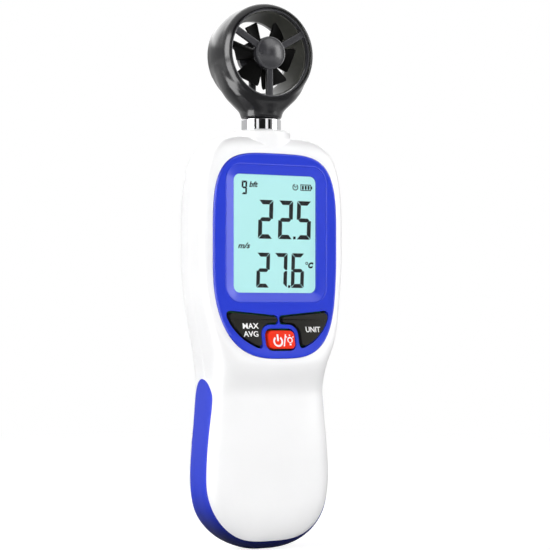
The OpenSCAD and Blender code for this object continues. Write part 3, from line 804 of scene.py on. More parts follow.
@dataclass
class HousingShells:
    """White front and rear mouldings with the neck that carries the collar."""

    segments: int = 128
    rows: int = 190
    seam: float = 0.14
    seam_w: float = 0.2
    neck_r: float = 10.65
    neck_top: float = 152.7
    neck_in: float = 4.0
    skirt_r: float = 1.8
    skirt_h: float = 2.6
    lip_w: float = 2.8
    lip_h: float = 1.1
    bore_r: float = 6.75
    flange_r: float = 8.15
    flange_z: float = 147.7
    boss_x: float = 20.3
    boss_z: float = 139.3
    key_room: float = 0.5

    def half(self, front: bool, name: str) -> Piece:
        """Solid half with a fine chamfer along the parting line.

        Args:
            front: Makes the front half, or else the rear half.
            name: Name of the object.

        Returns:
            The half.
        """
        side = -1.0 if front else 1.0
        bm = FORM.loft(0.0, self.segments, self.rows)
        slice_at(bm, (0.0, side * self.seam_w, 0.0), ALONG_Y)
        slice_at(bm, ORIGIN, ALONG_Y, drop_outer=front, drop_inner=not front)
        for vert in bm.verts:
            if abs(vert.co.y) < 1e-5 and abs(vert.co.x) > 1.0:
                vert.co.x -= math.copysign(self.seam, vert.co.x)
        close_holes(bm)
        return draft(bm, name)

    def neck(self, front: bool) -> Piece:
        """Half of the moulded neck with its fillet.

        Args:
            front: Makes the front half, or else the rear half.

        Returns:
            The half.
        """
        base = FORM.body_h - 1.2
        skirt = self.neck_r + self.skirt_r
        brim = base + self.skirt_h
        fillet = [(skirt - self.skirt_r * math.sin(t), brim - self.skirt_r * math.cos(t))
                  for t in quarter(10)]
        lip = [(self.neck_r - self.lip_w + self.lip_w * math.cos(t),
                self.neck_top - self.lip_h + self.lip_h * math.sin(t)) for t in quarter(12)]
        foot, inner = base - 9.0, self.neck_in
        profile = [(inner, foot), (self.neck_r, foot)] + lip + [(inner, self.neck_top)]
        boss = draft(turned(profile, 96, ALONG_Z, ORIGIN), "neck_boss")
        profile = [(inner, base - 2.0), (skirt, base - 2.0)] + fillet + [(inner, brim)]
        bm = turned(profile, 96, ALONG_Z, ORIGIN)
        bmesh.ops.scale(bm, vec=(1.0, self.neck_r / skirt, 1.0), verts=bm.verts)
        carve(boss, Cut.ADD, draft(bm, "neck_skirt"))
        bm = bmesh.new()
        bm.from_mesh(boss.data)
        scrap(boss)
        slice_at(bm, ORIGIN, ALONG_Y, drop_outer=front, drop_inner=not front)
        close_holes(bm)
        return draft(bm, "neck_half")

    def collar_seat(self) -> Piece:
        """Bore of the neck, wider under its shoulder.

        Returns:
            The cutter.
        """
        low, high = 135.0, 160.0
        profile = [(0.0, low), (self.flange_r, low), (self.flange_r, self.flange_z),
                   (self.bore_r, self.flange_z), (self.bore_r, high), (0.0, high)]
        return draft(turned(profile, 64, ALONG_Z, ORIGIN), "collar_seat")

    def at_bosses(self, profile: Outline, name: str) -> Piece:
        """Solids turned about the two upper case screws."""
        places = [Vector((side * self.boss_x, 0.0, self.boss_z)) for side in (-1.0, 1.0)]
        return draft(turned(profile, 32, ALONG_Y, *places), name)

    def screw_wells(self) -> Piece:
        """Wells of the two upper case screws."""
        return self.at_bosses([(0.0, 4.0), (2.2, 4.0), (2.2, 15.0), (3.0, 20.0), (0.0, 20.0)], "screw_wells")

    def screw_posts(self) -> Piece:
        """Posts that the two upper case screws bear on."""
        return self.at_bosses([(0.0, 0.3), (2.9, 0.3), (2.9, 12.6), (0.0, 12.6)], "screw_posts")

    def build(self, panel: "DisplayPanel", keys: "KeyPad", grip: "GripBand", bay: "BatteryBay") -> None:
        """Makes both shells and cuts the seats of what they carry.

        Args:
            panel: Display panel, for its pocket.
            keys: Keys, for their openings.
            grip: Grip band, for its seat.
            bay: Battery bay, for its box and door opening.
        """
        hollow = draft(FORM.loft(FORM.wall, 64, 60), "hollow")
        seat = self.collar_seat()
        band = grip.solid("grip_seat", grip.room)
        front = self.half(True, "front_shell_skin")
        carve(front, Cut.ADD, self.neck(True))
        carve(front, Cut.TAKE_AWAY, hollow, keep=True)
        carve(front, Cut.TAKE_AWAY, panel.pocket(), panel.glass_opening(),
              *keys.openings(keys.gap + self.key_room))
        carve(front, Cut.TAKE_AWAY, seat, band, keep=True)
        settle(front, "case", [WHITE_SHELL], ["front_shell"])

        rear = self.half(False, "rear_shell_skin")
        carve(rear, Cut.ADD, self.neck(False))
        carve(rear, Cut.TAKE_AWAY, hollow)
        posts = self.half(False, "posts")
        carve(posts, Cut.KEEP_COMMON, self.screw_posts())
        carve(rear, Cut.ADD, bay.box(self.half(False, "bay_box")), posts)
        carve(rear, Cut.TAKE_AWAY, bay.cavity(), bay.door_opening(), bay.hook_slots(), self.screw_wells(),
              seat, band)
        settle(rear, "case", [WHITE_SHELL], ["rear_shell"])


@dataclass
class GripBand:
    """Blue soft band round both flanks and the foot."""

    half_w: float = 5.65
    foot_more: float = 2.05
    head_more: float = 0.25
    rear_more: float = 1.4
    top: float = 62.2
    tip_from: float = 54.6
    tip_y: float = 2.4
    thick: float = 1.3
    proud: float = 0.2
    roll: float = 0.55
    room: float = 0.05
    flank_rows: int = 70
    foot_rows: int = 110

    def reaches(self, z: float) -> Tuple[float, float]:
        """Reach of the band from its tip's line at a height.

        Args:
            z: Height.

        Returns:
            Reach to the front and to the back.
        """
        full = self.half_w + self.foot_more * (1.0 - ease((z - 5.0) / 19.0))
        full += self.head_more * ease((z - 44.0) / 8.0)
        tip = clip01((z - self.tip_from) / (self.top - self.tip_from))
        cap = math.sqrt(1.0 - tip * tip)
        return max(0.02, cap * (full + self.tip_y)), max(0.02, cap * (full * self.rear_more - self.tip_y))

    def place(self, walk: float, y: float, inset: float) -> Vector:
        """Point of the band on the skin of the housing.

        Args:
            walk: Way along the band, from the left tip at -2 over the foot to the right tip at 2.
            y: Depth.
            inset: Distance under the skin.

        Returns:
            The point.
        """
        if abs(walk) > 1.0:
            z = mix(FORM.low_z, self.top, abs(walk) - 1.0)
            return FORM.skin(Vector((0.0, y, z)), Vector((math.copysign(1.0, walk), 0.0, 0.0)), inset)
        turn = QUARTER * walk
        way = Vector((math.sin(turn), 0.0, -math.cos(turn)))
        spot = FORM.skin(Vector((0.0, y, FORM.low_z)), way, inset)
        spot.z = max(spot.z, 0.0)
        return spot

    def cross(self, walk: float, grow: float) -> Ring:
        """Closed cross-section of the band.

        Args:
            walk: Way along the band.
            grow: Room added round it; with any, the outer face stands well off the skin.

        Returns:
            The ring, outer face first.
        """
        z = mix(FORM.low_z, self.top, abs(walk) - 1.0) if abs(walk) > 1.0 else \
            FORM.low_z - FORM.low_z * math.cos(QUARTER * walk)
        fore, rear = (reach + grow for reach in self.reaches(z))
        roll = min(self.roll, min(fore, rear) * 0.8)
        outer = 0.7

        def point(share: float) -> Vector:
            """Point on the cross-section.

            Args:
                share: Share of the way round.

            Returns:
                The point.
            """
            loop = share % 1.0
            if loop >= outer:
                t = 1.0 - (loop - outer) / (1.0 - outer) * 2.0
                return self.place(walk, self.tip_y + t * (fore if t < 0.0 else rear), self.thick + grow)
            t = loop / outer * 2.0 - 1.0
            reach = fore if t < 0.0 else rear
            y = reach * math.sin(QUARTER * t)
            edge = clip01((abs(y) - reach + roll) / roll)
            inset = -self.proud + self.roll * (1.0 - math.sqrt(1.0 - edge * edge))
            return self.place(walk, self.tip_y + y, -2.0 if grow > 0.0 else inset)

        return point

    def solid(self, name: str, grow: float) -> Piece:
        """Band as a solid, or the space it takes when grown.

        Args:
            name: Name of the object.
            grow: Room added round it.

        Returns:
            The solid.
        """
        thin = 1 if grow == 0.0 else 2
        up = [1.0 + math.sin(QUARTER * i / self.flank_rows * thin)
              for i in range(self.flank_rows // thin + 1)]
        foot = [mix(-1.0, 1.0, i * thin / self.foot_rows) for i in range(1, self.foot_rows // thin)]
        walks = [-w for w in reversed(up)] + foot + up
        return draft(ring_stack(44 if grow == 0.0 else 30, [self.cross(w, grow) for w in walks]), name)

    def build(self) -> None:
        """Makes the band."""
        band = self.solid("grip_band_skin", 0.0)
        settle(band, "case", [BLUE_GRIP], ["grip_band"], crease=50.0)


@dataclass
class DisplayPanel:
    """Blue panel with the sloped recess of the display."""

    view_w: float = 33.6
    view_h: float = 42.5
    view_z: float = 114.6
    view_r: float = 2.4
    slope_w: float = 3.4
    slope_d: float = 0.8
    thick: float = 2.0
    edge_r: float = 0.75
    bead: float = 0.15
    bead_w: float = 0.45
    pocket_gap: float = 0.1
    glass_gap: float = 3.5
    segments: int = 192

    def opening(self, angle: float, grow: float) -> Point:
        """Outline of the display opening about its middle, grown."""
        return rounded_box_ray(angle, self.view_w + 2.0 * grow, self.view_h + 2.0 * grow, self.view_r + grow)

    def angle_at(self, share: float) -> float:
        """Direction from the middle of the display to the panel's outline."""
        x, z = FORM.panel_outline(share, 0.0)
        return math.atan2(z - self.view_z, x)

    def rim(self, grow: float, depth: float, share: float) -> Vector:
        """Point round the panel's outline, grown, at a depth under the panel's face."""
        x, z = FORM.panel_outline(share, grow)
        return Vector((x, depth - FORM.panel(z), z))

    def face(self, part: float, share: float) -> Vector:
        """Point on the panel's face.

        Args:
            part: Place between the rounded edge at 0 and the recess at 1.
            share: Share of the way round.

        Returns:
            The point.
        """
        x0, z0 = FORM.panel_outline(share, -self.edge_r)
        x1, z1 = self.opening(self.angle_at(share), self.slope_w + self.bead_w)
        x, z = mix(x0, x1, part), mix(z0, z1 + self.view_z, part)
        return Vector((x, -FORM.panel(z), z))

    def slope(self, part: float, sink: float, share: float) -> Vector:
        """Point on the slope of the recess.

        Args:
            part: Place between the outer edge at 0 and the opening at 1; below 0 on the bead.
            sink: Depth under the slope.
            share: Share of the way round.

        Returns:
            The point.
        """
        angle = self.angle_at(share)
        x, z = self.opening(angle, self.slope_w * (1.0 - part))
        edge = self.view_z + self.opening(angle, self.slope_w)[1]
        face = mix(FORM.panel(edge), FORM.panel_d - self.slope_d, part)
        if part < 0.0:
            face = FORM.panel(z + self.view_z)
        return Vector((x, sink - face, z + self.view_z))

    def bezel(self, keys: "KeyPad") -> None:
        """Makes the panel and cuts the key openings.

        Args:
            keys: Keys, for their openings.
        """
        rings = [partial(self.rim, 0.0, self.thick)]
        rings += [partial(self.rim, self.edge_r * (math.cos(t) - 1.0), self.edge_r * (1.0 - math.sin(t)))
                  for t in quarter(6)]
        rings += [partial(self.face, i / 18.0) for i in range(1, 19)]
        rings += [partial(self.slope, part, -height * self.bead)
                  for part, height in ((-0.1, 0.2), (-0.04, 1.0), (0.0, 0.9))]
        rings += [partial(self.slope, part, 0.0) for part in (0.05, 0.09, 0.4, 0.75, 0.97)]
        rings += [partial(self.slope, 1.0, sink) for sink in (0.06, 0.5, 0.9)]
        rings += [partial(self.rim, -4.0, self.thick - 0.02)]
        panel = draft(ring_stack(self.segments, rings, loop=True), "display_bezel_skin")
        carve(panel, Cut.TAKE_AWAY, *keys.openings(keys.gap))
        settle(panel, "case", [BLUE_PANEL], ["display_bezel"], crease=24.0)

    def pocket_mouth(self, share: float) -> Vector:
        """Point round the panel, far before it."""
        x, z = FORM.panel_outline(share, self.pocket_gap)
        return Vector((x, FAR_FRONT, z))

    def pocket_floor(self, scale: float, share: float) -> Vector:
        """Point on the floor of the panel's pocket.

        Args:
            scale: Place between the middle at 0 and the outline at 1.
            share: Share of the way round.

        Returns:
            The point.
        """
        x, z = FORM.panel_outline(share, self.pocket_gap)
        x, z = x * scale, mix(FORM.panel_mid, z, scale)
        return Vector((x, self.thick + 0.05 - FORM.panel(z), z))

    def pocket(self) -> Piece:
        """Space of the panel in the front shell."""
        floor = [partial(self.pocket_floor, s / 12.0) for s in range(12, 0, -1)]
        return draft(ring_stack(96, [self.pocket_mouth] + floor), "panel_pocket")

    def glass_opening(self) -> Piece:
        """Opening behind the display glass."""
        w, h = (self.view_w + self.glass_gap) / 2.0, (self.view_h + self.glass_gap) / 2.0
        return boxes("glass_opening", ((-w, FAR_FRONT, self.view_z - h), (w, -6.0, self.view_z + h)))


@dataclass
class Marks:
    """Flat marks on a face of the meter, drawn on a sheet with X across and Y up until it is printed."""

    lift: float
    depth: Callable[[float], float]
    thick: float = 0.02
    sheet: Mesh = field(default_factory=bmesh.new)

    def shape(self, points: Outline) -> None:
        """Adds a filled outline."""
        self.sheet.faces.new([self.sheet.verts.new((x, z, 0.0)) for x, z in points])

    def bar(self, x0: float, z0: float, x1: float, z1: float) -> None:
        """Adds a filled rectangle between two corners."""
        self.shape([(x0, z0), (x1, z0), (x1, z1), (x0, z1)])

    def arc(self, centre: Point, radius: float, width: float, start: float, sweep: float) -> None:
        """Adds part of a ring.

        Args:
            centre: Middle of the ring.
            radius: Radius at the middle of its line.
            width: Width of the line.
            start: Degrees from +X at which it starts.
            sweep: Degrees that it runs.
        """
        turn = math.radians(start)
        spots = [self.sheet.verts.new((centre[0] + r * math.cos(turn), centre[1] + r * math.sin(turn), 0.0))
                 for r in (radius - width / 2.0, radius + width / 2.0)]
        edge = self.sheet.edges.new(spots)
        bmesh.ops.spin(self.sheet, geom=spots + [edge], cent=(*centre, 0.0), axis=ALONG_Z,
                       angle=math.radians(sweep), steps=max(6, int(abs(sweep) / 10)),
                       use_merge=abs(sweep) >= 360.0, use_duplicate=False)

    def words(self, text: str, centre: Point, size: float, bold: float = 0.0, shear: float = 0.0,
              spread: float = 1.0) -> None:
        """Adds a line of lettering.

        Args:
            text: The letters.
            centre: Middle of the line.
            size: Height of the type.
            bold: Distance by which strokes are thickened.
            shear: Slant of the letters.
            spread: Stretch across.
        """
        curve = bpy.data.curves.new("lettering", "FONT")
        curve.body = text
        curve.size = size
        curve.shear = shear
        curve.offset = bold
        curve.resolution_u = 3
        curve.align_x = "CENTER"
        curve.align_y = "CENTER"
        holder = bpy.data.objects.new("lettering", curve)
        bpy.context.scene.collection.objects.link(holder)
        graph = bpy.context.evaluated_depsgraph_get()
        mesh = bpy.data.meshes.new_from_object(holder.evaluated_get(graph))
        before = set(self.sheet.verts)
        self.sheet.from_mesh(mesh)
        for vert in self.sheet.verts:
            if vert not in before:
                vert.co.x = vert.co.x * spread + centre[0]
                vert.co.y += centre[1]
        bpy.data.meshes.remove(mesh)
        scrap(holder)

    def printed(self, name: str) -> Piece:
        """Lays the sheet on the face and gives it a thickness.

        Args:
            name: Name of the object.

        Returns:
            The marks.
        """
        bm = self.sheet
        bmesh.ops.remove_doubles(bm, verts=bm.verts, dist=MERGE)
        for face in bm.faces:
            if face.normal.z < 0.0:
                face.normal_flip()
        bm.normal_update()
        bmesh.ops.translate(bm, vec=(0.0, 0.0, self.thick), verts=pulled(bm))
        for vert in bm.verts:
            x, z, up = vert.co
            vert.co = Vector((x, -self.depth(z) - self.lift - up, z))
        bmesh.ops.recalc_face_normals(bm, faces=bm.faces)
        return draft(bm, name)


@dataclass
class DisplayMarks:
    """Digits and signs shown on the display."""

    glass_f: float = 10.3
    slant: float = 0.03
    gap: float = 0.13
    mitre: float = 0.9
    upper_z: float = 112.85
    lower_z: float = 95.2

    SEGMENTS = {"2": "abged", "5": "afgcd", "6": "afgedc", "7": "abc", "9": "abcdfg"}

    def digit(self, marks: Marks, sign: str, corner: Point, w: float, h: float, stroke: float) -> None:
        """Adds one seven-segment digit.

        Args:
            marks: Sheet that receives it.
            sign: The digit.
            corner: Its lower left corner.
            w: Its width.
            h: Its height.
            stroke: Width of a segment.
        """
        t, g, half = stroke, self.gap * stroke, h / 2.0
        cut, bar, near = t * self.mitre, t * 0.45, t * 0.3
        knee = t * 0.75
        shapes: Dict[str, List[Point]] = {}
        for key, z, inward in (("a", h, -t), ("d", 0.0, t)):
            shapes[key] = [(g, z), (w - g, z), (w - cut - g, z + inward), (cut + g, z + inward)]
        shapes["g"] = [(near + g, half), (knee + g, half + bar), (w - knee - g, half + bar),
                       (w - near - g, half), (w - knee - g, half - bar), (knee + g, half - bar)]
        for key, x, upper in (("f", 0.0, True), ("e", 0.0, False), ("b", w, True), ("c", w, False)):
            inward = t if x == 0.0 else -t
            way = 1.0 if upper else -1.0
            outer, inner = (h - g, half + g) if upper else (g, half - g)
            shapes[key] = [(x, outer), (x, inner), (x + inward * 0.55, inner),
                           (x + inward, inner + way * t * 0.55 * self.mitre), (x + inward, outer - way * cut)]
        for key in self.SEGMENTS[sign]:
            marks.shape([(corner[0] + x + self.slant * z, corner[1] + z) for x, z in shapes[key]])

    def dot(self, marks: Marks, corner: Point, side: float) -> None:
        """Adds a square decimal point with its lower left corner and its side."""
        x, z = corner
        lean = self.slant * side
        marks.shape([(x, z), (x + side, z), (x + side + lean, z + side), (x + lean, z + side)])

    def battery(self, marks: Marks, corner: Point, w: float, h: float) -> None:
        """Adds the battery sign with three bars.

        Args:
            marks: Sheet that receives it.
            corner: Its lower left corner.
            w: Width of the can.
            h: Height of the can.
        """
        x, z = corner
        t = 0.3
        marks.bar(x, z, x + w, z + t)
        marks.bar(x, z + h - t, x + w, z + h)
        marks.bar(x, z + t, x + t, z + h - t)
        marks.bar(x + w - t, z + t, x + w, z + h - t)
        marks.bar(x + w, z + 0.6, x + w + 0.45, z + h - 0.6)
        for i in range(3):
            left = x + 0.6 + i * 1.18
            marks.bar(left, z + 0.45, left + 0.8, z + h - 0.45)

    def clock(self, marks: Marks, centre: Point) -> None:
        """Adds the clock sign with its two hands.

        Args:
            marks: Sheet that receives it.
            centre: Middle of its dial.
        """
        x, z = centre
        marks.arc(centre, 1.02, 0.36, 100.0, 320.0)
        long_hand = [(-0.14, -0.2), (0.14, -0.2), (0.14, 0.1), (-0.55, 0.75), (-0.73, 0.57)]
        short_hand = [(0.1, -0.17), (0.65, 0.27), (0.52, 0.47), (-0.1, 0.05)]
        for hand in (long_hand, short_hand):
            marks.shape([(x + dx, z + dz) for dx, dz in hand])

    def build(self) -> None:
        """Makes every mark on the display."""
        marks = Marks(0.0, lambda z: self.glass_f)
        for sign, x in (("2", -6.6), ("2", 1.5), ("5", 9.05)):
            self.digit(marks, sign, (x, self.upper_z), 5.9, 14.0, 1.6)
        self.dot(marks, (7.75, self.upper_z), 1.05)
        for sign, x in (("2", -7.3), ("7", -0.15), ("6", 6.8)):
            self.digit(marks, sign, (x, self.lower_z), 5.3, 12.6, 1.45)
        self.dot(marks, (5.65, self.lower_z), 0.95)
        self.digit(marks, "9", (-13.2, 128.6), 2.2, 4.9, 0.72)
        marks.words("bft", (-8.55, 132.2), 2.7, bold=0.09, shear=0.25, spread=1.1)
        marks.words("m/s", (-12.3, 110.15), 2.7, bold=0.09, shear=0.3, spread=1.2)
        marks.words("C", (14.75, 103.4), 2.65, bold=0.2, shear=0.25)
        marks.arc((13.4, 104.2), 0.42, 0.3, 0.0, 360.0)
        self.clock(marks, (8.7, 131.85))
        self.battery(marks, (10.8, 130.65), 4.4, 2.3)
        settle(marks.printed("display_marks"), "case", [DISPLAY_INK])


@dataclass
class KeyPad:
    """Two dark wing keys and the red power key."""

    proud: float = 1.0
    gap: float = 0.4
    shy: float = 0.3
    power_w: float = 11.4
    power_h: float = 7.2
    power_r: float = 2.2
    power_z: float = 76.5
    wing_w: float = 21.2
    wing_h: float = 17.9
    wing_z: float = 90.0
    wing_top: float = 84.75
    wing_in: float = 0.7
    bridge_w: float = 2.1
    bridge_h: float = 2.6
    bridge_r: float = 4.2
    lean: float = -5.3
    base_y: float = -9.2
    back_y: float = -5.0
    edge: float = 0.5
    bands: int = 36

    def wing_outline(self, grow: float) -> List[Point]:
        """Outline of the right wing key with sharp corners.

        Args:
            grow: Distance by which it is grown.

        Returns:
            Points in order: inner top, outer top, the outer arc, the arc over the power key, inner end.
        """
        fall = math.tan(math.radians(self.lean))
        top = self.wing_top + grow / math.cos(math.radians(self.lean))
        a, b = self.wing_w + grow, self.wing_h + grow
        left = self.wing_in - grow
        inner = self.power_w / 2.0 + self.bridge_w - grow
        radius = self.bridge_r - grow
        roof = self.power_z - 0.4 + self.power_h / 2.0 + self.bridge_h - grow
        turn = 0.0
        while self.wing_z + b * math.sin(turn) > top - a * math.cos(turn) * fall:
            turn -= 0.002
        end = -math.acos(inner / a)
        points = [(left, top - left * fall)]
        points += [(a * math.cos(t), self.wing_z + b * math.sin(t))
                   for t in [mix(turn, end, i / 24.0) for i in range(25)]]
        points += [(inner - radius + radius * math.cos(t), roof - radius + radius * math.sin(t))
                   for t in quarter(12)]
        points.append((left, roof))
        return points

    def wing(self, grow: float) -> List[Point]:
        """Outline of the right wing key with its corners rounded."""
        sharp = self.wing_outline(grow)
        return soften(sharp, {0: 1.25, 1: 3.0, 25: 2.2, len(sharp) - 1: 1.25})

    def power(self, grow: float) -> List[Point]:
        """Outline of the power key.

        Args:
            grow: Distance by which it is grown.

        Returns:
            Points in order.
        """
        r = self.power_r + grow
        x, z = self.power_w / 2.0 + grow - r, self.power_h / 2.0 + grow - r
        points = []
        for sx, sz, start in ((1, 1, 0.0), (-1, 1, 90.0), (-1, -1, 180.0), (1, -1, 270.0)):
            for i in range(9):
                t = math.radians(start + 90.0 * i / 8.0)
                points.append((sx * x + r * math.cos(t), self.power_z + sz * z + r * math.sin(t)))
        return points

    def prism(self, outline: Outline, side: float, front: float, back: float) -> Tuple[Mesh, List[MeshVert]]:
        """Solid of an outline between two depths.

        Args:
            outline: Points in X and Z.
            side: -1 to mirror it to the left, 1 to leave it.
            front: Depth of its front.
            back: Depth of its back.

        Returns:
            The mesh and the vertices of its front.
        """
        bm = bmesh.new()
        bm.faces.new([bm.verts.new((side * x, back, z)) for x, z in outline])
        top = pulled(bm)
        for vert in top:
            vert.co.y = front
        bmesh.ops.recalc_face_normals(bm, faces=bm.faces)
        return bm, top

    def openings(self, gap: float) -> List[Piece]:
        """Cutters for the three keys, with a gap round each."""
        shapes = ((self.wing(gap), -1.0), (self.wing(gap), 1.0), (self.power(gap), 1.0))
        return [draft(self.prism(*shape, FAR_FRONT, self.back_y)[0], "key_opening") for shape in shapes]

    def key(self, node: str, slot: str, outline: Outline, side: float, finish: Finish) -> None:
        """Makes a key with a rounded front edge that follows the curve of the panel.

        Args:
            node: Its node, which is also its body.
            slot: Not used.
            outline: Points in X and Z.
            side: -1 for the left of the meter, 1 for the right.
            finish: Its finish.
        """
        bm, top = self.prism(outline, side, -FORM.panel_d - self.proud, self.base_y)
        rim = [edge for edge in bm.edges if edge.verts[0] in top and edge.verts[1] in top]
        round_edges(bm, rim, self.edge, 5)
        low = min(vert.co.z for vert in bm.verts)
        high = max(vert.co.z for vert in bm.verts)
        for i in range(1, self.bands):
            slice_at(bm, (0.0, 0.0, mix(low, high, i / self.bands)), ALONG_Z)
        for vert in bm.verts:
            if vert.co.y < self.base_y - 0.1:
                vert.co.y -= FORM.panel(vert.co.z) - FORM.panel_d
        bmesh.ops.recalc_face_normals(bm, faces=bm.faces)
        settle(draft(bm, node + "_skin"), node, [finish], [node], crease=40.0)

    def power_signs(self, marks: Marks) -> None:
        """Draws the power sign, the stroke and the lamp sign.

        Args:
            marks: Sheet that receives them.
        """
        mid = self.power_z
        marks.arc((-1.6, mid - 0.6), 1.62, 0.68, 126.0, 288.0)
        marks.bar(-1.93, mid - 0.5, -1.27, mid + 1.95)
        marks.shape([(0.42, mid - 2.35), (0.9, mid - 2.35), (1.9, mid + 1.95), (1.42, mid + 1.95)])
        x, z = 3.25, mid - 0.15
        marks.arc((x, z), 0.88, 0.44, -50.0, 280.0)
        marks.bar(2.8, mid - 1.3, 3.7, mid - 0.9)
        marks.bar(2.9, mid - 2.0, 3.6, mid - 1.5)
        ray = [(1.4, -0.2), (1.95, -0.2), (1.95, 0.2), (1.4, 0.2)]
        for turn in (40.0, 90.0, 140.0):
            c, s = math.cos(math.radians(turn)), math.sin(math.radians(turn))
            marks.shape([(x + r * c - o * s, z + r * s + o * c) for r, o in ray])

    def legends(self) -> None:
        """Prints the legends of the keys."""
        left, right, middle = (Marks(self.proud, FORM.panel) for _ in range(3))
        for text, z in (("MAX", 81.35), ("AVG", 78.5)):
            left.words(text, (-12.05, z), 2.75, bold=0.05, spread=1.08)
        right.words("UNIT", (13.1, 80.0), 2.7, bold=0.05, spread=0.96)
        self.power_signs(middle)
        settle(left.printed("max_avg_legend"), "max_avg_key", [LEGEND_WHITE])
        settle(right.printed("unit_legend"), "unit_key", [LEGEND_WHITE])
        settle(middle.printed("power_legend"), "power_key", [LEGEND_WHITE])

    def build(self) -> None:
        """Makes the keys and their legends."""
        wing = self.wing(-self.shy)
        self.key("max_avg_key", "dark_key", wing, -1.0, KEY_DARK)
        self.key("unit_key", "dark_key", wing, 1.0, KEY_DARK)
        self.key("power_key", "red_key", self.power(-self.shy), 1.0, KEY_RED)
        self.legends()


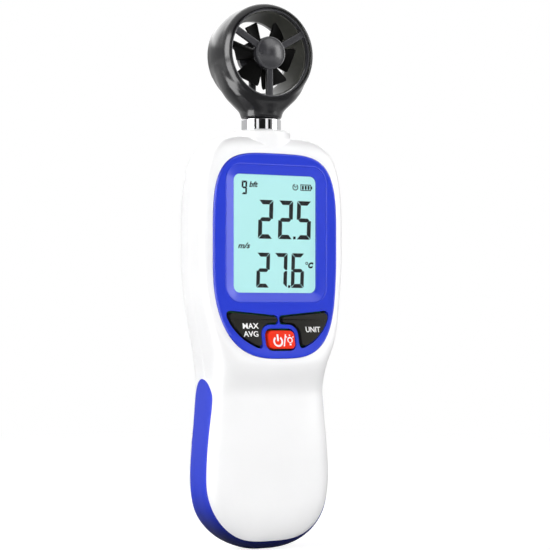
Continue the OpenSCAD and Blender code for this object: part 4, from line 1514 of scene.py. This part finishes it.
@dataclass
class BatteryBay:
    """Battery box, door and cells at the back."""

    half_w: float = 17.2
    low: float = 13.6
    high: float = 65.0
    floor: float = 2.9
    wall: float = 1.6
    thick: float = 1.6
    gap: float = 0.25
    corner_r: float = 3.0
    cell_r: float = 5.2
    cell_l: float = 44.5
    pitch: float = 10.9
    edge: float = 0.35
    ribs: int = 5
    rib_pitch: float = 1.7

    def box(self, inside: Piece) -> Piece:
        """Walls of the bay.

        Args:
            inside: Solid that they are held inside, which is used up.

        Returns:
            The walls.
        """
        span = ((-self.half_w - self.wall, 0.9, self.low - self.wall),
                (self.half_w + self.wall, 15.2, self.high + self.wall))
        carve(inside, Cut.KEEP_COMMON, boxes("bay_walls", span))
        return inside

    def cavity(self) -> Piece:
        """Inside of the bay."""
        return boxes("bay_cavity", ((-self.half_w, self.floor, self.low), (self.half_w, 23.0, self.high)))

    def at_hooks(self, name: str, half: float, depths: Point, heights: Point) -> Piece:
        """Boxes at the two hooks of the door.

        Args:
            name: Name of the object.
            half: Half width of a box.
            depths: Its front and back.
            heights: Its foot and top over the foot of the bay.

        Returns:
            The boxes.
        """
        return boxes(name, *(((x - half, depths[0], self.low + heights[0]),
                              (x + half, depths[1], self.low + heights[1]))
                             for x in (-self.pitch / 2.0, self.pitch / 2.0)))

    def hook_slots(self) -> Piece:
        """Slots for the hooks of the door."""
        return self.at_hooks("hook_slots", 2.7, (11.0, 12.9), (-2.2, 0.8))

    def door_point(self, grow: float, scale: float, depth: float, share: float) -> Vector:
        """Point on a face of the door.

        Args:
            grow: Distance by which the door's outline is grown.
            scale: Place between the middle at 0 and the outline at 1.
            depth: Depth under the back.
            share: Share of the way round.

        Returns:
            The point.
        """
        middle = (self.low + self.high) / 2.0
        w, h = 2.0 * (self.half_w + 0.5 + grow), self.high - self.low + 0.6 + 2.0 * grow
        x, z = rounded_box_ray(math.tau * (share % 1.0), w, h, self.corner_r + grow)
        x, z = x * scale, mix(middle, z + middle, scale)
        return Vector((x, FORM.back_y(x, z) - depth, z))

    def slab(self, name: str, grow: float, inner: float, skirt: Sequence[Ring], outer: float) -> Piece:
        """Solid of the door's outline that follows the back.

        Args:
            name: Name of the object.
            grow: Distance by which its inner face is grown.
            inner: Depth of its inner face under the back.
            skirt: Rings between its faces.
            outer: Depth of its outer face.

        Returns:
            The solid.
        """
        scales = [i / 10.0 for i in range(1, 11)]
        rings = [partial(self.door_point, grow, s, inner) for s in scales] + list(skirt)
        edge = -self.edge if skirt else grow
        back = reversed(scales[:-1] if skirt else scales)
        rings += [partial(self.door_point, edge, s, outer) for s in back]
        return draft(ring_stack(160, rings), name)

    def door_opening(self) -> Piece:
        """Space of the door in the rear shell."""
        return self.slab("door_opening", self.gap, self.thick + 0.15, (), -6.0)

    def thumb_ribs(self) -> Piece:
        """Low ribs that a thumb pushes near the top of the door.

        Returns:
            The ribs.
        """
        bm = bmesh.new()
        for i in range(self.ribs):
            z = self.high - 6.0 - self.rib_pitch * i
            made = block(bm, (-5.0, 15.1, z - 0.35), (5.0, 15.49, z + 0.35))
            round_edges(bm, list({edge for vert in made for edge in vert.link_edges}), 0.15, 2)
        return draft(bm, "thumb_ribs")

    def thumb_rest(self) -> Piece:
        """Shallow hollow round the ribs.

        Returns:
            The cutter.
        """
        bm = bmesh.new()
        bmesh.ops.create_uvsphere(bm, u_segments=64, v_segments=48, radius=1.0)
        bmesh.ops.scale(bm, vec=(7.4, 0.62, 6.2), verts=bm.verts)
        bmesh.ops.translate(bm, vec=(0.0, FORM.back_d + 0.02, self.high - 9.4), verts=bm.verts)
        return draft(bm, "thumb_rest")

    def door(self) -> None:
        """Makes the door with its hooks."""
        skirt = [partial(self.door_point, -self.edge * (1.0 - math.cos(t)), 1.0,
                         self.edge * (1.0 - math.sin(t))) for t in quarter(5)]
        door = self.slab("battery_door_skin", 0.0, self.thick, skirt, 0.0)
        carve(door, Cut.TAKE_AWAY, self.thumb_rest())
        arms = self.at_hooks("hook_arms", 2.0, (11.4, 14.2), (0.2, 1.7))
        tongues = self.at_hooks("hook_tongues", 1.99, (11.41, 12.6), (-1.6, 0.4))
        carve(door, Cut.ADD, self.thumb_ribs(), arms, tongues)
        settle(door, "battery_door", [WHITE_SHELL], ["battery_door"])

    def cell(self, name: str, x: float, upright: bool) -> None:
        """Makes one cell with its sleeve and plated ends.

        Args:
            name: Its node.
            x: Place of its axis across the bay.
            upright: Puts its button up, or else down.
        """
        r, length = self.cell_r, self.cell_l
        profile = [(0.0, 0.0), (r - 0.7, 0.0), (r - 0.45, 0.15), (r - 0.4, 0.35), (r - 0.1, 0.4), (r, 0.55)]
        profile += [(radius, length - drop) for radius, drop in
                    ((r, 1.75), (r - 0.1, 1.6), (r - 0.4, 1.5), (r - 0.5, 1.25), (2.1, 1.2), (1.9, 1.1),
                     (1.9, 0.2), (1.7, 0.0), (0.0, 0.0))]
        base = self.low + 5.0 if upright else self.low + 1.5 + length
        if not upright:
            profile = [(radius, -height) for radius, height in profile]
        bm = turned(profile, 64, ALONG_Z, Vector((x, self.floor + r + 0.1, base)))
        for face in bm.faces:
            height = abs(face.calc_center_median().z - base)
            face.material_index = 0 if 0.37 < height < length - 1.52 else 1
        settle(draft(bm, name + "_skin"), "case", [SLEEVE, STEEL], [name])

    def build(self) -> None:
        """Makes the door and the cells."""
        self.door()
        self.cell("cell_left", -self.pitch, True)
        self.cell("cell_middle", 0.0, False)
        self.cell("cell_right", self.pitch, True)


@dataclass
class SwivelCollar:
    """Chromed collar that the stem turns in."""

    outer: float = 7.25
    bore: float = 5.05
    low: float = 152.75
    high: float = 156.7
    flange_h: float = 1.7

    def build(self) -> None:
        """Makes the collar, with rings close to its edges that keep its reflections straight."""
        foot = FORM.body_h - 3.8
        step = foot + self.flange_h
        edge = [(0.12, 0.0), (0.04, 0.04), (0.0, 0.12), (0.0, 0.2)]
        profile = [(self.bore, foot), (self.outer + 0.8, foot), (self.outer + 0.8, step),
                   (self.outer - 0.6, step), (self.outer - 0.6, self.low)]
        profile += [(self.outer - back, self.low + rise) for back, rise in edge]
        profile += [(self.outer - back, self.high - rise) for back, rise in reversed(edge)]
        profile += [(self.bore, self.high)]
        collar = draft(turned(profile, 128, ALONG_Z, ORIGIN), "swivel_collar_skin")
        settle(collar, "case", [CHROME], ["swivel_collar"], crease=40.0)


@dataclass
class VaneHead:
    """Black head: barrel and flare, two guards and the impeller."""

    axis_z: float = 180.5
    head_r: float = 18.8
    front: float = 8.8
    back: float = 9.6
    lip_w: float = 2.3
    lip_d: float = 4.0
    lip_n: float = 1.29
    rear_r: float = 1.8
    tunnel_r: float = 16.1
    throat_r: float = 13.5
    neck_lo: float = 157.0
    neck_r: float = 7.5
    melt: float = 0.3
    stem_r: float = 5.01
    hub_r: float = 6.0
    spoke_w: float = 2.5
    root_r: float = 2.2
    blade_r: float = 11.9
    blade_y: float = -1.0
    blades: int = 6
    first_blade: float = -116.0
    pitch: float = 38.0

    def centre(self) -> Vector:
        """Point of the impeller axis over the stem axis."""
        return Vector((0.0, 0.0, self.axis_z))

    def spun(self, profile: Outline, steps: int, name: str) -> Piece:
        """Solid turned about the impeller axis."""
        return draft(turned(profile, steps, ALONG_Y, self.centre()), name)

    def barrel(self) -> Piece:
        """Barrel without its tunnel.

        Returns:
            The solid.
        """
        r, n = self.rear_r, self.lip_n
        profile = [(0.0, -self.front)]
        profile += [(self.tunnel_r + self.lip_w * math.sin(t) ** n,
                     -self.front + self.lip_d - self.lip_d * math.cos(t) ** n) for t in quarter(8)]
        profile += [(self.head_r - 0.8 * (y / 7.0) ** 2, y + 0.4)
                    for y in [-4.0 + 0.5 * i for i in range(17)]]
        profile += [(self.head_r - 0.8 - r + r * math.sin(t), self.back - r + r * math.cos(t))
                    for t in reversed(quarter(8))]
        profile += [(0.0, self.back)]
        return self.spun(profile, 192, "head_housing_skin")

    def flare_point(self, height: float, wide: float, deep: float, share: float) -> Vector:
        """Point on the flare, whose back is a little deeper than its front.

        Args:
            height: Height over its foot.
            wide: Half width there.
            deep: Reach to the front there.
            share: Share of the way round.

        Returns:
            The point.
        """
        square = ease(height / 7.0)
        power = 2.0 / (2.0 + square)
        turn = math.tau * (share % 1.0)
        sine = math.sin(turn)
        reach = deep + (0.6 * square if sine > 0.0 else 0.0)
        return Vector((wide * signed_power(math.cos(turn), power), reach * signed_power(sine, power),
                       self.neck_lo + height))

    def flare(self) -> Piece:
        """Flare from the round neck over the collar up to the barrel.

        Returns:
            The solid.
        """
        rim, neck = self.head_r, self.neck_r
        steps = [(0.0, neck - 0.1, neck - 0.1), (0.2, neck, neck), (0.8, neck, neck), (1.5, neck, neck),
                 (2.3, 7.65, 7.55), (3.1, 8.1, 7.65), (4.5, 9.5, 7.8), (7.4, 12.7, 8.0), (10.2, 15.0, 8.1),
                 (13.0, rim - 2.3, 8.1), (16.2, rim - 1.1, 8.1), (18.5, rim - 0.6, 8.1)]
        return draft(ring_stack(128, [partial(self.flare_point, *step) for step in steps]), "flare")

    def housing(self) -> None:
        """Makes the housing with its softened joint between flare and barrel."""
        piece = self.barrel()
        carve(piece, Cut.ADD, self.flare())
        melt = piece.modifiers.new("melt", "REMESH")
        melt.mode = "VOXEL"
        melt.voxel_size = self.melt
        bake_modifiers(piece)
        bm = bmesh.new()
        bm.from_mesh(piece.data)
        neck = [vert for vert in bm.verts if vert.co.z < self.axis_z - 8.0]
        for verts in [bm.verts[:]] * 6 + [neck] * 26:
            bmesh.ops.smooth_vert(bm, verts=verts, factor=0.5, use_axis_x=True, use_axis_y=True,
                                  use_axis_z=True)
        bm.to_mesh(piece.data)
        bm.free()
        mouth, throat = self.tunnel_r, self.throat_r
        tunnel = [(mouth + out, rise - self.front) for out, rise in
                  ((-mouth, -2.0), (0.5, -2.0), (0.5, -0.05), (0.15, 0.25), (0.0, 0.7), (0.0, 3.4),
                   (-1.1, 3.4))]
        tunnel += [(throat, 2.0)]
        tunnel += [(throat + out, self.back + rise) for out, rise in
                   ((0.0, -3.4), (0.8, -3.4), (0.8, 2.0), (-throat, 2.0))]
        socket = [(0.0, 150.0), (self.stem_r, 150.0), (self.stem_r, 162.4), (0.0, 162.4)]
        carve(piece, Cut.TAKE_AWAY, self.spun(tunnel, 160, "tunnel"),
              draft(turned(socket, 64, ALONG_Z, ORIGIN), "stem_socket"))
        # Tunnel faces take the finish whose lighter colour is painted reflection.
        for face in piece.data.polygons:
            spot = face.center - self.centre()
            if math.hypot(spot.x, spot.z) < mouth + 0.05:
                face.material_index = 1
        settle(piece, "head", [HEAD_BLACK, TUNNEL_BLACK], ["head_housing"], crease=38.0)

    def guard(self, name: str, ring_r: float, face: float, sign: float, dome: float) -> None:
        """Makes a guard with three spokes and a hub.

        Args:
            name: CAD node that it replaces.
            ring_r: Outer radius of its ring.
            face: Depth of its outer face.
            sign: 1 when its solid runs towards the back, -1 towards the front.
            dome: Height of the hub's dome.
        """
        def at(profile: Outline) -> List[Point]:
            """Profile placed from the outer face."""
            return [(radius, face + sign * height) for radius, height in profile]

        inner = ring_r - 0.7
        ring = [(inner, 0.25), (inner + 0.07, 0.07), (inner + 0.25, 0.0), (ring_r - 0.1, 0.0), (ring_r, 0.1),
                (ring_r, 2.2), (inner, 2.2)]
        piece = self.spun(at(ring), 160, name + "_skin")
        r = self.hub_r
        hub = [(0.0, 2.4), (r, 2.4), (r, 0.35), (r - 0.12, 0.1), (r - 0.4, 0.0), (r - 0.75, -0.02)]
        hub += [(s * (r - 0.8), -dome * (1.0 - s * s)) for s in [1.0 - i / 12.0 for i in range(13)]]
        carve(piece, Cut.ADD, self.spun(at(hub), 96, "hub"))
        low, high = sorted((face + sign * 0.4, face + sign * 2.0))
        for angle in (90.0, 210.0, 330.0):
            bm = bmesh.new()
            block(bm, (r - 0.6, low, -self.spoke_w / 2.0), (inner + 0.4, high, self.spoke_w / 2.0))
            round_edges(bm, [edge for edge in bm.edges
                             if abs(edge.verts[0].co.x - edge.verts[1].co.x) > 1.0], 0.3, 3)
            turn = Matrix.Rotation(math.radians(angle), 4, "Y")
            bmesh.ops.transform(bm, matrix=Matrix.Translation(self.centre()) @ turn, verts=bm.verts)
            carve(piece, Cut.ADD, draft(bm, "spoke"))
        settle(piece, "head", [GUARD_BLACK], [name], crease=35.0)

    def blade(self, turn: float) -> Piece:
        """One twisted blade.

        Args:
            turn: Angle round the hub.

        Returns:
            The blade.
        """
        bm = bmesh.new()
        grid = bmesh.ops.create_grid(bm, x_segments=14, y_segments=8, size=1.0)
        for vert in grid["verts"]:
            out = mix(self.root_r, self.blade_r - 0.15, (vert.co.x + 1.0) / 2.0)
            share = (out - self.root_r) / (self.blade_r - self.root_r)
            corner = clip01((out - self.blade_r + 1.6) / 1.6)
            chord = mix(1.9, 5.1, share) * vert.co.y * (1.0 - 0.12 * corner * corner)
            lean = math.radians(mix(self.pitch + 8.0, self.pitch - 3.0, share))
            camber = 0.35 * (1.0 - vert.co.y ** 2)
            vert.co = Vector((out, -chord * math.sin(lean) - camber * math.cos(lean),
                              chord * math.cos(lean) - camber * math.sin(lean)))
        bmesh.ops.recalc_face_normals(bm, faces=bm.faces)
        bmesh.ops.solidify(bm, geom=bm.faces[:], thickness=0.7)
        bmesh.ops.recalc_face_normals(bm, faces=bm.faces)
        place = Matrix.Translation(self.centre() + Vector((0.0, self.blade_y, 0.0)))
        bmesh.ops.transform(bm, matrix=place @ Matrix.Rotation(turn, 4, "Y"), verts=bm.verts)
        return draft(bm, "blade")

    def impeller(self) -> None:
        """Makes the impeller."""
        hub = [(0.6, -2.8), (1.6, -2.8), (2.7, -2.3), (3.0, -1.6), (3.0, 2.5), (2.7, 2.8), (0.6, 2.8)]
        piece = self.spun([(radius, self.blade_y + y) for radius, y in hub], 64, "impeller_skin")
        for i in range(self.blades):
            carve(piece, Cut.ADD, self.blade(math.radians(360.0 / self.blades * i + self.first_blade)))
        settle(piece, "impeller", [BLADE_BLACK], ["impeller"], crease=40.0)

    def build(self) -> None:
        """Makes every piece of the head."""
        self.housing()
        self.guard("front_guard", self.tunnel_r - 0.03, -self.front + 1.1, 1.0, 1.45)
        self.guard("rear_guard", self.throat_r + 0.77, self.back - 1.1, -1.0, 0.0)
        self.impeller()


@dataclass
class Inside:
    """CAD nodes that keep their shape and get a finish."""

    FINISHES = (
        (CLEAR_LENS, ["display_window"]),
        (DISPLAY_FACE, ["lcd_glass"]),
        (LIGHT_GUIDE, ["lcd_backlight"]),
        (CONNECTOR, ["lcd_connectors"]),
        (BOARD, ["main_board", "sensor_board"]),
        (EPOXY, ["controller_chip", "pulse_sensor", "thermistor"]),
        (STEEL, ["dome_switches", "board_screws", "case_screws", "battery_springs", "contact_plates",
                 "stem_clip", "impeller_shaft"]),
        (HEAD_BLACK, ["head_stem"]),
        (BRASS, ["front_bearing", "rear_bearing"]),
    )

    def dress(self) -> None:
        """Gives every node that stays its material."""
        for finish, names in self.FINISHES:
            for name in names:
                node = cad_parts[name]
                node.data.materials.clear()
                node.data.materials.append(finish.material())
                LOG.info("%s dressed as %s", name, finish.name)


# Studio


def show(bm: Mesh, name: str, tone: float) -> None:
    """Makes a glowing surface that only shiny surfaces show.

    Args:
        bm: Its mesh in metres.
        name: Name of the surface.
        tone: Brightness that it shows.
    """
    card = draft(bm, name)
    coat = bpy.data.materials.new(name)
    tree = bare_tree(coat)
    glow = add_node(tree, "Emission", {"Color": (tone, tone, tone, 1.0)})
    add_node(tree, "OutputMaterial", {"Surface": glow.outputs[0]})
    card.data.materials.append(coat)
    card.visible_camera = False
    card.visible_diffuse = False
    card.visible_shadow = False
    card.visible_transmission = False


def around(azimuth: float) -> Vector:
    """Level direction at an azimuth in degrees from the front of the meter."""
    turn = math.radians(azimuth)
    return Vector((math.sin(turn), -math.cos(turn), 0.0))


@dataclass(frozen=True)
class Card:
    """Upright card far off; azimuths of its sides in degrees, heights of its edges in metres."""

    name: str
    start: float
    end: float
    low: float
    high: float
    tone: float
    reach: float = 2.0

    def build(self) -> None:
        """Stands the card."""
        bm = bmesh.new()
        bmesh.ops.create_grid(bm, x_segments=1, y_segments=1, size=0.5)
        width = 2.0 * self.reach * math.tan(math.radians(self.end - self.start) / 2.0)
        bmesh.ops.scale(bm, vec=(width, self.high - self.low, 1.0), verts=bm.verts)
        middle = (self.start + self.end) / 2.0
        spot = around(middle) * self.reach + ALONG_Z * (self.low + self.high) / 2.0
        way = Matrix.Rotation(math.radians(middle), 4, "Z") @ Matrix.Rotation(QUARTER, 4, "X")
        bmesh.ops.transform(bm, matrix=Matrix.Translation(spot) @ way, verts=bm.verts)
        show(bm, self.name, self.tone)


@dataclass(frozen=True)
class Sheet:
    """Sheet on the floor; azimuths of its sides in degrees, distances of its edges in metres."""

    name: str
    start: float
    end: float
    near: float
    far: float
    tone: float

    def build(self) -> None:
        """Lays the sheet."""
        bm = bmesh.new()
        grid = bmesh.ops.create_grid(bm, x_segments=24, y_segments=1, size=1.0)
        for vert in grid["verts"]:
            azimuth = mix(self.start, self.end, (vert.co.x + 1.0) / 2.0)
            reach = mix(self.near, self.far, (vert.co.y + 1.0) / 2.0)
            vert.co = around(azimuth) * reach + ALONG_Z * MM
        show(bm, self.name, self.tone)


@dataclass(frozen=True)
class Lamp:
    """Soft square lamp aimed at the meter; angles in degrees, sizes in metres, power in watts."""

    name: str
    azimuth: float
    elevation: float
    reach: float
    size: float
    power: float

    def build(self) -> None:
        """Hangs the lamp, which shiny surfaces don't show."""
        data = bpy.data.lights.new(self.name, "AREA")
        data.shape = "SQUARE"
        data.size = self.size
        data.energy = self.power
        lamp = bpy.data.objects.new(self.name, data)
        lamp.visible_glossy = False
        rise = math.radians(self.elevation)
        way = around(self.azimuth) * math.cos(rise) + ALONG_Z * math.sin(rise)
        lamp.location = Vector((0.0, 0.0, 0.1)) + way * self.reach
        lamp.rotation_euler = (-way).to_track_quat("-Z", "Y").to_euler()
        bpy.context.scene.collection.objects.link(lamp)


@dataclass
class Studio:
    """Floor, lights, surroundings and camera."""

    yaw: float = 27.0
    distance: float = 0.6
    height: float = 0.085
    lens: float = 107.0
    shift_x: float = 0.0251
    shift_y: float = 0.0745

    FITTINGS = (
        Card("card_middle", -40.0, -2.0, -0.5, 1.1, 0.012),
        Card("card_left", -70.5, -55.5, -0.1, 0.9, 0.012),
        Card("card_right", 13.5, 30.0, -0.5, 1.1, 0.012),
        Card("card_far_right", 30.0, 42.0, -0.5, 1.1, 0.3),
        Card("card_back_left", -200.0, -116.0, 0.15, 0.7, 0.55),
        Card("card_back_right", 74.0, 150.0, 0.15, 0.7, 0.62),
        Card("card_low", -2.0, 13.5, -0.5, 0.17, 0.012),
        Card("card_strip", -109.0, -70.0, -1.0, 1.6, 9.0),
        Card("card_window", 46.0, 72.0, -0.4, 1.5, 5.0),
        Card("card_over", 5.0, 60.0, 1.35, 3.6, 2.6),
        Card("card_above", -75.0, 4.0, 1.2, 5.0, 0.02),
        Card("card_behind", 130.0, 205.0, 0.8, 2.4, 3.0),
        Sheet("sheet_left", -112.0, -68.0, 0.15, 0.95, 8.0),
        Lamp("key_lamp", 62.0, 18.0, 0.9, 0.3, 2.5),
        Lamp("side_lamp", -118.0, 20.0, 0.9, 0.4, 5.5),
        Lamp("front_lamp", -22.0, 3.0, 1.1, 0.3, 8.6),
    )

    def floor(self) -> None:
        """Lays a matt floor under the meter, which glows white to the camera and far off."""
        bm = bmesh.new()
        bmesh.ops.create_grid(bm, x_segments=1, y_segments=1, size=6.0)
        plane = draft(bm, "floor")
        coat = bpy.data.materials.new("pale_floor")
        tree = bare_tree(coat)
        place = add_node(tree, "TexCoord").outputs["Object"]
        away = add_node(tree, "VectorMath", {0: place}, operation="LENGTH").outputs["Value"]
        far = add_node(tree, "MapRange", {"Value": away, "From Min": 0.25, "From Max": 0.6},
                       interpolation_type="SMOOTHSTEP").outputs["Result"]
        matt = add_node(tree, "BsdfDiffuse", {"Color": (0.5, 0.5, 0.5, 1.0)})
        camera_ray = add_node(tree, "LightPath").outputs["Is Camera Ray"]
        near_glow = add_node(tree, "Emission", {"Strength": math_node(tree, "MULTIPLY", camera_ray, 0.8)})
        near = add_node(tree, "AddShader", {0: matt.outputs[0], 1: near_glow.outputs[0]})
        far_glow = add_node(tree, "Emission")
        share = math_node(tree, "MULTIPLY", seen_ray(tree), far)
        blend = add_node(tree, "MixShader", {0: share, 1: near.outputs[0], 2: far_glow.outputs[0]})
        add_node(tree, "OutputMaterial", {"Surface": blend.outputs[0]})
        plane.data.materials.append(coat)

    def surroundings(self) -> None:
        """White surroundings as seen; as light softer, and weaker from above."""
        world = bpy.data.worlds.new("studio")
        bpy.context.scene.world = world
        tree = bare_tree(world)
        white = (1.0, 1.0, 1.0, 1.0)
        place = add_node(tree, "TexCoord").outputs["Generated"]
        up = add_node(tree, "SeparateXYZ", {0: place}).outputs["Z"]
        fade = add_node(tree, "MapRange", {"Value": up, "To Min": 0.54, "To Max": 0.04}).outputs["Result"]
        light = add_node(tree, "Background", {"Color": white, "Strength": fade})
        shown = add_node(tree, "Background", {"Color": white})
        choice = add_node(tree, "MixShader", {0: seen_ray(tree), 1: light.outputs[0], 2: shown.outputs[0]})
        add_node(tree, "OutputWorld", {"Surface": choice.outputs[0]})

    def camera(self) -> None:
        """Places the camera at the photograph's viewpoint."""
        data = bpy.data.cameras.new("camera")
        data.lens = self.lens
        data.sensor_width = 36.0
        data.shift_x = self.shift_x
        data.shift_y = self.shift_y
        data.clip_start = 0.01
        camera = bpy.data.objects.new("camera", data)
        camera.location = around(-self.yaw) * self.distance + Vector((0.0, SHIFT_Y * MM, self.height))
        camera.rotation_euler = (QUARTER, 0.0, -math.radians(self.yaw))
        bpy.context.scene.collection.objects.link(camera)
        bpy.context.scene.camera = camera

    def build(self) -> None:
        """Makes the whole studio."""
        bpy.context.scene.view_settings.view_transform = "Standard"
        self.camera()
        self.floor()
        self.surroundings()
        for fitting in self.FITTINGS:
            fitting.build()


def main() -> None:
    """Builds the meter piece by piece."""
    logging.basicConfig(level=logging.INFO, format="%(name)s: %(message)s")
    Studio().build()
    grip = GripBand()
    panel = DisplayPanel()
    keys = KeyPad()
    bay = BatteryBay()
    HousingShells().build(panel, keys, grip, bay)
    grip.build()
    panel.bezel(keys)
    DisplayMarks().build()
    keys.build()
    bay.build()
    SwivelCollar().build()
    VaneHead().build()
    Inside().dress()


if __name__ == "__main__":
    main()
